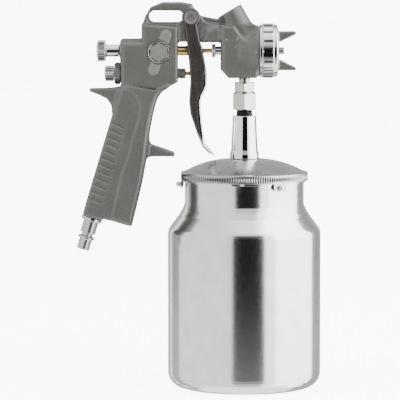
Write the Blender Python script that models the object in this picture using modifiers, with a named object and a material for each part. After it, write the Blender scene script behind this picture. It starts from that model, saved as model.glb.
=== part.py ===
"""Suction-feed air spray gun: cast gun, trigger, needle and air valve, air cap, and a hanging metal cup.

All sizes are in millimetres and become metres through MM. The origin is the centre of the cup's flat base,
+Z is up and +X is the way the gun sprays. The needle's axis runs along X above the cup's own axis.
"""

import math

import bmesh
import bpy
from mathutils import Matrix

MM = 0.001
GAP = 0.3                     # between two pieces that touch on the real gun
FINE = 36                     # faces round a large turned piece
ROUND = 18                    # faces round a small one
BORE = 12                     # faces round a drilled passage
OVERSHOOT = 3.0               # how far a cutter runs past the face that it opens

# Cup
CUP_RADIUS = 53.5
CUP_HEIGHT = 145.9
CUP_WALL = 1.2
CUP_FLOOR = 1.6
CUP_FOOT_FILLET = 10.5
NECK_RADIUS = 41.65
NECK_HEIGHT = 17.1            # from the top of the shoulder to the mouth
SHOULDER_HEIGHT = 20.3
LIP_RADIUS = 42.6
LIP_HEIGHT = 2.0
NOTCH_WIDTH = 6.0

# Lid, its three bayonet lugs and their rivets
GASKET_THICK = 2.0
GASKET_WIDTH = 4.65
LID_OVERLAP = 0.7             # how far the rim reaches below the mouth
RIM_WALL = 1.35
RIM_HEIGHT = 5.8
DOME_RISE = 9.0
DOME_FLAT = 10.5              # radius of the flat that the stem stands on
LID_THICK = 2.0
LUG_DROP = 5.4
LUG_WIDTH = 10.0
LUG_ANGLES = (-57.0, 63.0, 183.0)
RIVET_RADIUS = 1.2
RIVET_HEAD = 2.0
RIVET_DROP = 2.9              # centre below the rim's lower edge
TWIST = 40.0                  # how far the cup turns to free its lip from the rivets
VENT_RADIUS = 1.0
VENT_PLACE = 25.0

# Stem, suction tube and union
STEM_LENGTH = 29.9
STEM_TOP_RADIUS = 8.25
STEM_BASE_RADIUS = 10.25
STEM_SPIGOT_RADIUS = 6.0
LOCK_NUT_FLATS = 18.0
LOCK_NUT_HEIGHT = 4.0
TUBE_RADIUS = 4.0
TUBE_WALL = 1.0
TUBE_CLEAR_OF_FLOOR = 7.4
STRAINER_RADIUS = 6.0
STRAINER_LENGTH = 12.0
CONNECTOR_RADIUS = 5.85
CONNECTOR_SEAT = 14.2         # length inside the stem
CONNECTOR_SHOWN = 3.9         # length between the stem and the union nut
UNION_FLATS = 15.9
UNION_LENGTH = 11.9
UNION_SHOULDER = 2.0
NIPPLE_FLATS = 13.7
NIPPLE_HEX = 6.9
NIPPLE_NECK = 3.15
NIPPLE_SHANK_RADIUS = 4.0
NIPPLE_SEAT = 9.4             # length screwed into the head
NIPPLE_WAIST_RADIUS = 4.4
NIPPLE_FLANGE_RADIUS = 5.8
NIPPLE_FLANGE = 2.2
PAINT_BORE = 2.6

# Cast body, along X from the cup's axis and up from the needle's axis
BLOCK_REAR = -86.0
BLOCK_FRONT = -46.3
BLOCK_WIDTH = 22.0
BLOCK_TOP = 5.9
BLOCK_BOTTOM = -24.6
HOOK_REAR = -71.3
HOOK_TOP = 33.9
HOOK_WIDTH = 10.0
ARM_WIDTH = 14.0
ARM_UNDER = 6.2
HEAD_REAR = -16.7
HEAD_FRONT = 10.3
HEAD_WIDTH = 25.0
HEAD_DROP = 18.85             # from the needle's axis down to the head's underside
HEAD_RADIUS = 17.0
SPIGOT_RADIUS = 16.4
SPIGOT_LENGTH = 5.7
BLANK_BOSS_RADIUS = 9.25
BLANK_BOSS_LEAN = 30.4
BLANK_BOSS_TOP = (-10.6, 27.8)
BLANK_BOSS_LENGTH = 24.0
SLOT_CENTRE = (-54.5, 24.0)
SLOT_LENGTH = 23.8
SLOT_HEIGHT = 7.8
BADGE_CENTRE = (-59.6, -0.7)
BADGE_FLATS = 14.3
BADGE_THICK = 1.2
BADGE_RECESS = 0.6

# Grip: its own axis is the air passage, leaning back from the valve's axis
GRIP_LEAN = 16.8
GRIP_TOP_X = -76.0
GRIP_LENGTH = 105.0
GRIP_WIDTH = 25.4
GRIP_BACK = 7.3               # from the passage to the back of the grip
GRIP_FRONT_TOP = 19.7         # from the passage to the front, below the block
GRIP_FRONT_BOTTOM = 28.6
PASSAGE_RADIUS = 4.2
THUMB_SPUR_WIDTH = 17.0
THUMB_SPUR_REACH = 22.2
FINGER_SPUR_WIDTH = 14.6
FINGER_SPUR_REACH = 14.5
FINGER_SPUR_PLACE = 47.3
INLET_RING_RADIUS = 7.3
INLET_RING_THICK = 2.5
PLUG_THREAD_RADIUS = 5.0
PLUG_THREAD = 12.0
PLUG_BARREL_RADIUS = 5.35
PLUG_BARREL = 8.6
PLUG_COLLAR_RADIUS = 5.75
PLUG_WAIST_RADIUS = 3.9
PLUG_NOSE_RADIUS = 4.45
PLUG_TAIL = 12.0
PLUG_BORE = 2.6

# Trigger and its pivot, from the needle's axis; its outline is from the pivot
PIVOT = (-37.3, 23.3)
PIN_RADIUS = 2.5
PIN_HEAD_RADIUS = 4.8
PIN_HEAD = 2.0
EAR_RADIUS = 6.5
TRIGGER_WALL = 1.7
WEB = 2.0
NEEDLE_SLOT = (4.6, 7.2)      # width and height of the hole in the trigger for the needle
TRIGGER_FRONT = (
    (8.0, -21.5), (9.6, -29.9), (11.3, -40.4), (11.3, -46.7), (10.0, -50.3), (7.8, -54.6), (6.8, -58.9),
    (7.1, -65.3), (7.8, -72.5), (8.7, -79.6), (9.6, -88.6), (12.2, -91.4), (16.1, -95.7),
)
TRIGGER_BACK = (
    (16.4, -96.4), (12.2, -94.3), (7.8, -90.0), (3.9, -79.9), (-0.5, -67.0), (-1.4, -58.0), (-0.5, -43.9),
    (-1.6, -29.9), (-3.2, -15.9),
)

# Needle and fluid knob, along the needle's axis
NEEDLE_RADIUS = 1.6
NEEDLE_REAR = -70.0
NEEDLE_TIP_REACH = 0.9        # from the tip back to the nozzle's front
COLLAR_RADIUS = 3.4
COLLAR_FRONT = -31.9
COLLAR_FLANGE_RADIUS = 5.5
COLLAR_FLANGE = 2.0
CHAMBER_RADIUS = 6.2
CHAMBER_DEPTH = 23.5
BUSH_LENGTH = 7.7
SHANK_RADIUS = 3.0
KNOB_STOP = 4.2               # free travel left behind the needle
KNOB_RADIUS = 7.5
KNOB_LENGTH = 6.5
BARREL_RADIUS = 4.3
BARREL_LENGTH = 8.9
KNOB_RING = 1.2
PACKING_RADIUS = 3.0
PACKING_LENGTH = 3.2
PACKING_NUT_SEAT = 4.6
PACKING_NUT_NECK = 3.5
PACKING_NUT_FLANGE = 2.6
PACKING_NUT_FLANGE_RADIUS = 4.75

# Air valve, along its own axis below the needle's
VALVE_DROP = 15.8
VALVE_CHAMBER_RADIUS = 6.3
VALVE_CHAMBER_DEPTH = 28.8
SEAT_THICK = 3.2
SEAT_BORE = 3.4
SEAL_THICK = 3.2
SEAL_RADIUS = 5.2
STEM_HEAD = 1.8
STEM_HEAD_RADIUS = 4.8
VALVE_STEM_RADIUS = 1.5
VALVE_STEM_TIP = -28.8
VALVE_TRAVEL = 6.8
GLAND_RADIUS = 3.55
GLAND_SEAT = 5.7
GLAND_SHOWN = 5.4
GLAND_PACKING = 2.7
PLUG_HEX_CORNERS = 15.4
PLUG_HEX = 4.35
PLUG_SHANK_RADIUS = 6.0
PLUG_SHANK = 6.3
AIR_KNOB_RADIUS = 5.4
AIR_KNOB_LENGTH = 6.65
AIR_SHANK_RADIUS = 2.0

# Springs
WIRE = 1.0
SPRING_TURNS = 5
SPRING_POINTS = 10            # points to a turn

# Nozzle, air cap and ring
NOZZLE_THREAD_RADIUS = 5.0
NOZZLE_SEAT = 15.0
NOZZLE_FLANGE_RADIUS = 7.0
NOZZLE_FLANGE = 2.0
NOZZLE_TIP_RADIUS = 2.45
NOZZLE_FRONT = 27.8
ORIFICE = 0.95
NOZZLE_GASKET = 0.8
CAP_FLANGE = 1.7
CAP_RADIUS = 13.5
CAP_FACE = 23.8
CAP_WALL = 2.5
HORN_WIDTH = 9.6
HORN_REACH = 12.1
HORN_OUTER = 13.6
RING_RADIUS = 19.0
RING_FRONT = 23.2
RING_COLLAR = 1.5
RING_LIP = 3.2
AIR_PASSAGE_RADIUS = 2.0
AIR_PASSAGE_RISE = 10.2
AIR_PASSAGE_SIDE = 6.5

# Heights, from the cup up to the needle
RIM_BOTTOM = CUP_HEIGHT - LID_OVERLAP
RIM_TOP = RIM_BOTTOM + RIM_HEIGHT
RIM_INNER = LIP_RADIUS + 0.5
GASKET_INNER = NECK_RADIUS - GASKET_WIDTH
RIM_RADIUS = RIM_INNER + RIM_WALL
GASKET_Z = CUP_HEIGHT + GAP
LID_SEAT_Z = GASKET_Z + GASKET_THICK + GAP
DOME_TOP = RIM_TOP + DOME_RISE
STEM_Z = DOME_TOP + GAP
STEM_TOP = STEM_Z + STEM_LENGTH
UNION_Z = STEM_TOP + GAP + CONNECTOR_SHOWN
UNION_TOP = UNION_Z + UNION_LENGTH
NIPPLE_HEX_Z = UNION_TOP + GAP
HEAD_Z = NIPPLE_HEX_Z + NIPPLE_HEX + NIPPLE_NECK
NEEDLE_Z = HEAD_Z + HEAD_DROP
VALVE_Z = NEEDLE_Z - VALVE_DROP

# Places along the needle's and the valve's axes
CHAMBER_FRONT = BLOCK_REAR + CHAMBER_DEPTH
COLLAR_REAR = CHAMBER_FRONT - GAP - COLLAR_FLANGE
BUSH_FRONT = BLOCK_REAR + GAP + BUSH_LENGTH
SPIGOT_FRONT = HEAD_FRONT + SPIGOT_LENGTH
VALVE_CHAMBER_FRONT = BLOCK_REAR + VALVE_CHAMBER_DEPTH
SEAT_REAR = VALVE_CHAMBER_FRONT - GAP - SEAT_THICK
SEAL_REAR = SEAT_REAR - GAP - SEAL_THICK
STEM_REAR = SEAL_REAR - GAP - STEM_HEAD
TRIGGER_WIDTH = ARM_WIDTH + 1.0 + 2 * TRIGGER_WALL

UPRIGHT = (0.0, 0.0, 0.0)
ALONG_X = (0.0, 90.0, 0.0)
ALONG_Y = (-90.0, 0.0, 0.0)
SIDE_ON = (90.0, 0.0, 0.0)    # lays a flat outline in the XZ plane
ON_NEEDLE = (0.0, 0.0, NEEDLE_Z)
ON_VALVE = (0.0, 0.0, VALVE_Z)

FINISHES = {                  # colour, metallic, roughness
    "grey_paint": ((0.15, 0.145, 0.135), 0.3, 0.45),
    "chrome": ((0.80, 0.80, 0.80), 1.0, 0.08),
    "polished_aluminium": ((0.82, 0.82, 0.82), 1.0, 0.16),
    "brushed_aluminium": ((0.74, 0.74, 0.74), 1.0, 0.28),
    "nickel": ((0.62, 0.60, 0.56), 1.0, 0.25),
    "brass": ((0.70, 0.50, 0.19), 1.0, 0.25),
    "bronze": ((0.55, 0.33, 0.16), 1.0, 0.30),
    "black_steel": ((0.03, 0.03, 0.03), 0.8, 0.35),
    "dark_chrome": ((0.12, 0.12, 0.12), 1.0, 0.20),
    "steel": ((0.55, 0.55, 0.55), 1.0, 0.30),
    "rubber": ((0.02, 0.02, 0.02), 0.0, 0.70),
    "ptfe": ((0.80, 0.80, 0.78), 0.0, 0.50),
}


def collection(name):
    """The scene's collection of this name, made when it is missing."""
    found = bpy.data.collections.get(name)
    if found is None:
        found = bpy.data.collections.new(name)
        bpy.context.scene.collection.children.link(found)
    return found


def material(finish):
    """The Principled BSDF material of one of the finishes."""
    found = bpy.data.materials.get(finish)
    if found is None:
        found = bpy.data.materials.new(finish)
        found.use_nodes = True
        colour, metallic, roughness = FINISHES[finish]
        shader = found.node_tree.nodes["Principled BSDF"]
        shader.inputs["Base Color"].default_value = (*colour, 1.0)
        shader.inputs["Metallic"].default_value = metallic
        shader.inputs["Roughness"].default_value = roughness
    return found


def place(obj, finish, origin, turn):
    """Puts an object at its origin and turn, in the gun's collection or, with no finish, in the cutters'."""
    obj.location = [value * MM for value in origin]
    obj.rotation_euler = [math.radians(angle) for angle in turn]
    if finish:
        collection("spray_gun").objects.link(obj)
        obj.data.materials.append(material(finish))
        return obj
    collection("cutters").objects.link(obj)
    obj.hide_render = True
    obj.display_type = "WIRE"
    return obj


def turned(name, profile, finish=None, origin=UPRIGHT, turn=UPRIGHT, steps=ROUND, bored=False):
    """A profile of (radius, height) points, listed down its outer side, turned about its axis."""
    mesh = bpy.data.meshes.new(name)
    edges = [(i, i + 1) for i in range(len(profile) - 1)]
    if bored:
        edges.append((len(profile) - 1, 0))
    mesh.from_pydata([(radius * MM, 0.0, height * MM) for radius, height in profile], edges, [])
    obj = place(bpy.data.objects.new(name, mesh), finish, origin, turn)
    screw = obj.modifiers.new("Turn", "SCREW")
    screw.steps = steps
    screw.render_steps = steps
    screw.use_merge_vertices = True
    screw.merge_threshold = 0.00001
    screw.use_smooth_shade = True
    return obj


def rod(name, radius, low, high, finish=None, origin=UPRIGHT, turn=UPRIGHT, steps=BORE):
    """A plain cylinder from low to high along its own axis."""
    profile = [(0.0, high), (radius, high), (radius, low), (0.0, low)]
    return turned(name, profile, finish, origin, turn, steps)


def sleeve(name, outer, inner, low, high, finish, origin=UPRIGHT, turn=UPRIGHT, steps=ROUND):
    """A ring or tube from low to high along its own axis."""
    profile = [(outer, high), (outer, low), (inner, low), (inner, high)]
    return turned(name, profile, finish, origin, turn, steps, bored=True)


def as_mesh(curve):
    """A curve object's own shape as a mesh object in its place, with its caps welded on."""
    bpy.context.view_layer.update()
    graph = bpy.context.evaluated_depsgraph_get()
    mesh = bpy.data.meshes.new_from_object(curve.evaluated_get(graph))
    shape = bmesh.new()
    shape.from_mesh(mesh)
    bmesh.ops.remove_doubles(shape, verts=shape.verts, dist=0.000001)
    shape.to_mesh(mesh)
    shape.free()
    name = curve.name
    homes = list(curve.users_collection)
    curve.name = name + "_curve"
    obj = bpy.data.objects.new(name, mesh)
    obj.matrix_world = curve.matrix_world
    obj.hide_render = curve.hide_render
    obj.display_type = curve.display_type
    for home in homes:
        home.objects.link(obj)
    bpy.data.objects.remove(curve)
    return obj


def flat(name, outline, thickness, finish=None, origin=UPRIGHT, turn=SIDE_ON):
    """A flat outline given a thickness, half of it to each side of its plane."""
    curve = bpy.data.curves.new(name, "CURVE")
    curve.dimensions = "2D"
    curve.fill_mode = "BOTH"
    curve.extrude = thickness / 2 * MM
    spline = curve.splines.new("POLY")
    spline.points.add(len(outline) - 1)
    for point, (across, up) in zip(spline.points, outline):
        point.co = (across * MM, up * MM, 0.0, 1.0)
    spline.use_cyclic_u = True
    obj = place(bpy.data.objects.new(name, curve), finish, origin, turn)
    return as_mesh(obj)


def hexagon(name, flats, low, high, finish=None, origin=UPRIGHT, turn=UPRIGHT, start=30.0):
    """A hexagonal bar from low to high along its own axis; start turns its first corner from +X."""
    corner = flats / 2 / math.cos(math.radians(30))
    mesh = bpy.data.meshes.new(name)
    shape = bmesh.new()
    bmesh.ops.create_cone(
        shape, cap_ends=True, segments=6, radius1=corner * MM, radius2=corner * MM, depth=(high - low) * MM
    )
    bmesh.ops.translate(shape, verts=shape.verts, vec=(0.0, 0.0, (high + low) / 2 * MM))
    shape.to_mesh(mesh)
    shape.free()
    mesh.transform(Matrix.Rotation(math.radians(start - 90.0), 4, "Z"))
    return place(bpy.data.objects.new(name, mesh), finish, origin, turn)


def box(name, size, centre, turn=UPRIGHT):
    """A cutting box of a size, in the cutters' collection."""
    mesh = bpy.data.meshes.new(name)
    shape = bmesh.new()
    bmesh.ops.create_cube(shape, size=1.0)
    bmesh.ops.scale(shape, verts=shape.verts, vec=[length * MM for length in size])
    shape.to_mesh(mesh)
    shape.free()
    return place(bpy.data.objects.new(name, mesh), None, centre, turn)


def boolean(obj, others, operation):
    """Joins to an object, or cuts from it, each of the others."""
    for other in others:
        step = obj.modifiers.new(other.name, "BOOLEAN")
        step.operation = operation
        step.solver = "EXACT"
        step.object = other


def bevel(obj, width, segments):
    """Rounds the edges between an outline's flat sides and its rim."""
    step = obj.modifiers.new("Round", "BEVEL")
    step.width = width * MM
    step.segments = segments
    step.limit_method = "ANGLE"
    step.angle_limit = math.radians(60)


def arc(centre, radius, start, end, count):
    """Points on an arc, from one angle to another in degrees."""
    angles = [math.radians(start + (end - start) * i / count) for i in range(count + 1)]
    return [(centre[0] + radius * math.cos(a), centre[1] + radius * math.sin(a)) for a in angles]


def spring(name, radius, low, high, origin):
    """A compression coil along X between two faces, half a wire clear of each."""
    curve = bpy.data.curves.new(name, "CURVE")
    curve.dimensions = "3D"
    curve.bevel_depth = WIRE / 2 * MM
    curve.bevel_resolution = 0
    curve.use_fill_caps = True
    count = SPRING_TURNS * SPRING_POINTS
    spline = curve.splines.new("POLY")
    spline.points.add(count)
    first = low + WIRE / 2 + GAP
    last = high - WIRE / 2 - GAP
    for i, point in enumerate(spline.points):
        angle = math.tau * i / SPRING_POINTS
        along = first + (last - first) * i / count
        point.co = (along * MM, radius * math.cos(angle) * MM, radius * math.sin(angle) * MM, 1.0)
    return as_mesh(place(bpy.data.objects.new(name, curve), "steel", origin, UPRIGHT))


def on_grip(along, across):
    """A point given down the grip's air passage and forward of it, as (x, height from the needle)."""
    lean = math.radians(GRIP_LEAN)
    x = GRIP_TOP_X - along * math.sin(lean) + across * math.cos(lean)
    return (x, -VALVE_DROP - along * math.cos(lean) - across * math.sin(lean))


def cup_outline(inset):
    """The cup's side from the top of its neck down to the foot, drawn in by a wall's thickness."""
    shoulder_top = CUP_HEIGHT - NECK_HEIGHT
    shoulder_foot = shoulder_top - SHOULDER_HEIGHT
    step_out = CUP_RADIUS - NECK_RADIUS
    side = [
        (NECK_RADIUS - inset, shoulder_top),
        (NECK_RADIUS + step_out * 0.12 - inset, shoulder_top - SHOULDER_HEIGHT * 0.17),
        (NECK_RADIUS + step_out * 0.35 - inset, shoulder_top - SHOULDER_HEIGHT * 0.40),
        (NECK_RADIUS + step_out * 0.94 - inset, shoulder_top - SHOULDER_HEIGHT * 0.86),
        (CUP_RADIUS - inset, shoulder_foot),
    ]
    fillet = CUP_FOOT_FILLET - inset
    foot = arc((CUP_RADIUS - CUP_FOOT_FILLET, CUP_FOOT_FILLET), fillet, 0.0, -90.0, 5)
    return side + foot


def make_cup():
    """The spun cup: foot, straight side, sloping shoulder, neck and a rolled lip with bayonet notches."""
    outer = [
        (NECK_RADIUS, CUP_HEIGHT),
        (LIP_RADIUS, CUP_HEIGHT - LIP_HEIGHT / 4),
        (LIP_RADIUS, CUP_HEIGHT - LIP_HEIGHT),
        (NECK_RADIUS, CUP_HEIGHT - LIP_HEIGHT),
    ]
    outer += cup_outline(0.0) + [(0.0, 0.0)]
    inner = [(radius, max(height, CUP_FLOOR)) for radius, height in reversed(cup_outline(CUP_WALL))]
    profile = outer + [(0.0, CUP_FLOOR)] + inner + [(NECK_RADIUS - CUP_WALL, CUP_HEIGHT)]
    cup = turned("cup", profile, "brushed_aluminium", steps=FINE, bored=True)
    notches = []
    for number, angle in enumerate(LUG_ANGLES, 1):
        turn = math.radians(angle - TWIST)
        middle = NECK_RADIUS + LIP_HEIGHT
        centre = (middle * math.cos(turn), middle * math.sin(turn), CUP_HEIGHT)
        size = (LIP_HEIGHT * 2 - 0.2, NOTCH_WIDTH, LIP_HEIGHT * 3)
        notches.append(box(f"cut_lip_notch_{number}", size, centre, (0.0, 0.0, angle - TWIST)))
    boolean(cup, notches, "DIFFERENCE")


def lid_profile():
    """Half a section of the lid: dome over a rim, with a skirt that becomes the three lugs."""
    dome = []
    for i in range(7):
        share = i / 6
        radius = DOME_FLAT + (RIM_RADIUS - 1.9 - DOME_FLAT) * share
        dome.append((radius, DOME_TOP - DOME_RISE * share**2))
    hole = STEM_SPIGOT_RADIUS + GAP
    inner = [
        (RIM_INNER, LID_SEAT_Z),
        (GASKET_INNER, LID_SEAT_Z),
        (GASKET_INNER * 0.72, LID_SEAT_Z + (DOME_TOP - LID_THICK - LID_SEAT_Z) * 0.55),
        (DOME_FLAT, DOME_TOP - LID_THICK),
        (hole, DOME_TOP - LID_THICK),
    ]
    rim = [(RIM_RADIUS, RIM_TOP - 0.6), (RIM_RADIUS, RIM_BOTTOM - LUG_DROP), (RIM_INNER, RIM_BOTTOM - LUG_DROP)]
    return [(hole, DOME_TOP)] + dome + rim + inner


def make_lid():
    """The lid with its vent, and the gaps between its three lugs cut from the skirt."""
    lid = turned("lid", lid_profile(), "polished_aluminium", steps=FINE, bored=True)
    lug_half = math.degrees(LUG_WIDTH / 2 / RIM_RADIUS)
    cuts = []
    for number, angle in enumerate(LUG_ANGLES, 1):
        start = angle + lug_half
        end = angle + 120.0 - lug_half
        outline = arc((0.0, 0.0), RIM_RADIUS + 4.0, start, end, 14)
        outline += arc((0.0, 0.0), RIM_INNER - 4.0, end, start, 14)
        height = LUG_DROP + OVERSHOOT
        middle = (0.0, 0.0, RIM_BOTTOM - height / 2)
        cuts.append(flat(f"cut_skirt_{number}", outline, height, None, middle, UPRIGHT))
        pin = (0.0, 0.0, RIM_BOTTOM - RIVET_DROP)
        hole = rod(
            f"cut_rivet_hole_{number}", RIVET_RADIUS + GAP, RIM_INNER - 2.0, RIM_RADIUS + 2.0,
            None, pin, (0.0, 90.0, angle), 10,
        )
        cuts.append(hole)
    vent_low = LID_SEAT_Z - OVERSHOOT
    cuts.append(rod("cut_vent", VENT_RADIUS, vent_low, DOME_TOP, None, (0.0, VENT_PLACE, 0.0), steps=10))
    boolean(lid, cuts, "DIFFERENCE")
    sleeve(
        "lid_gasket", NECK_RADIUS + 0.3, GASKET_INNER + 1.0, GASKET_Z, GASKET_Z + GASKET_THICK, "rubber", steps=FINE
    )


def make_rivets():
    """Three ball-headed rivets whose inner ends catch under the cup's lip."""
    for number, angle in enumerate(LUG_ANGLES, 1):
        shank_end = NECK_RADIUS + GAP
        head = RIM_RADIUS + GAP
        ball = arc((0.0, head + RIVET_HEAD * 0.6), RIVET_HEAD, 90.0, -35.0, 5)
        profile = ball + [(RIVET_RADIUS, head), (RIVET_RADIUS, shank_end), (0.0, shank_end)]
        profile[0] = (0.0, profile[0][1])
        pin = (0.0, 0.0, RIM_BOTTOM - RIVET_DROP)
        turned(f"lid_rivet_{number}", profile, "steel", pin, (0.0, 90.0, angle), 12)


def make_stem():
    """The tapered stem on the lid, the nut under the lid, the suction tube and its strainer."""
    spigot_end = DOME_TOP - LID_THICK - GAP - LOCK_NUT_HEIGHT - 0.7
    tube_hole = TUBE_RADIUS + GAP
    seat = CONNECTOR_RADIUS + GAP
    seat_z = STEM_TOP + GAP - CONNECTOR_SEAT
    profile = [
        (STEM_TOP_RADIUS, STEM_TOP),
        (STEM_BASE_RADIUS - 0.9, STEM_Z + STEM_LENGTH * 0.2),
        (STEM_BASE_RADIUS, STEM_Z + 1.0),
        (STEM_BASE_RADIUS, STEM_Z),
        (STEM_SPIGOT_RADIUS, STEM_Z),
        (STEM_SPIGOT_RADIUS, spigot_end),
        (tube_hole, spigot_end),
        (tube_hole, seat_z - GAP),
        (seat, seat_z - GAP),
        (seat, STEM_TOP),
    ]
    turned("lid_stem", profile, "chrome", bored=True)
    nut_top = DOME_TOP - LID_THICK - GAP
    nut = hexagon("lid_lock_nut", LOCK_NUT_FLATS, nut_top - LOCK_NUT_HEIGHT, nut_top, "steel")
    bore = rod("cut_lock_nut", STEM_SPIGOT_RADIUS + GAP, nut_top - 20.0, nut_top + 5.0, steps=ROUND)
    boolean(nut, [bore], "DIFFERENCE")
    tube_low = CUP_FLOOR + TUBE_CLEAR_OF_FLOOR
    tube_top = seat_z + 10.7
    sleeve("suction_tube", TUBE_RADIUS, TUBE_RADIUS - TUBE_WALL, tube_low, tube_top, "steel")
    strainer_low = tube_low - 4.0
    profile = [
        (STRAINER_RADIUS, strainer_low + STRAINER_LENGTH),
        (STRAINER_RADIUS, strainer_low),
        (TUBE_RADIUS - TUBE_WALL, strainer_low),
        (TUBE_RADIUS - TUBE_WALL, tube_low - GAP),
        (tube_hole, tube_low - GAP),
        (tube_hole, strainer_low + STRAINER_LENGTH),
    ]
    turned("suction_strainer", profile, "nickel", bored=True)


def make_union():
    """The threaded connector, the union nut over it and the nipple that screws into the head."""
    seat_z = STEM_TOP + GAP - CONNECTOR_SEAT
    top = UNION_TOP - UNION_SHOULDER - GAP - NIPPLE_FLANGE - GAP
    profile = [
        (CONNECTOR_RADIUS, top),
        (CONNECTOR_RADIUS, seat_z),
        (TUBE_RADIUS + GAP, seat_z),
        (TUBE_RADIUS + GAP, seat_z + 11.0),
        (PAINT_BORE, seat_z + 11.0),
        (PAINT_BORE, top),
    ]
    turned("tube_connector", profile, "black_steel", bored=True)
    nut = hexagon("union_nut", UNION_FLATS, UNION_Z, UNION_TOP, "nickel")
    inside = [
        (NIPPLE_WAIST_RADIUS + GAP, UNION_TOP + OVERSHOOT),
        (NIPPLE_WAIST_RADIUS + GAP, UNION_TOP - UNION_SHOULDER),
        (CONNECTOR_RADIUS + GAP, UNION_TOP - UNION_SHOULDER),
        (CONNECTOR_RADIUS + GAP, UNION_Z - OVERSHOOT),
    ]
    hollow = turned("cut_union_nut", [(0.0, UNION_TOP + OVERSHOOT)] + inside + [(0.0, UNION_Z - OVERSHOOT)])
    boolean(nut, [hollow], "DIFFERENCE")
    nipple = hexagon("fluid_nipple", NIPPLE_FLATS, NIPPLE_HEX_Z, NIPPLE_HEX_Z + NIPPLE_HEX, "nickel")
    flange_top = UNION_TOP - UNION_SHOULDER - GAP
    middle = NIPPLE_HEX_Z + NIPPLE_HEX / 2
    upper = rod(
        "join_nipple_shank", NIPPLE_SHANK_RADIUS, middle, HEAD_Z + NIPPLE_SEAT, steps=ROUND
    )
    lower = turned("join_nipple_flange", [
        (0.0, middle),
        (NIPPLE_WAIST_RADIUS, middle),
        (NIPPLE_WAIST_RADIUS, flange_top),
        (NIPPLE_FLANGE_RADIUS, flange_top),
        (NIPPLE_FLANGE_RADIUS, flange_top - NIPPLE_FLANGE),
        (0.0, flange_top - NIPPLE_FLANGE),
    ])
    bore = rod("cut_nipple", PAINT_BORE, flange_top - 10.0, HEAD_Z + 20.0)
    boolean(nipple, [upper, lower], "UNION")
    boolean(nipple, [bore], "DIFFERENCE")


def grip_outline():
    """The grip's side view, round its air passage."""
    back = -GRIP_BACK
    points = [
        (2.0, back), (GRIP_LENGTH, back), (GRIP_LENGTH, 6.2),
        (GRIP_LENGTH - 1.8, 9.2), (GRIP_LENGTH - 1.8, GRIP_FRONT_BOTTOM),
        (GRIP_LENGTH * 0.60, GRIP_FRONT_BOTTOM - 2.5),
        (GRIP_LENGTH * 0.38, GRIP_FRONT_TOP + 2.1), (GRIP_LENGTH * 0.19, GRIP_FRONT_TOP),
        (GRIP_LENGTH * 0.08, GRIP_FRONT_TOP + 0.4), (2.0, GRIP_FRONT_TOP + 6.0),
    ]
    return [on_grip(along, across) for along, across in points]


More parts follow.
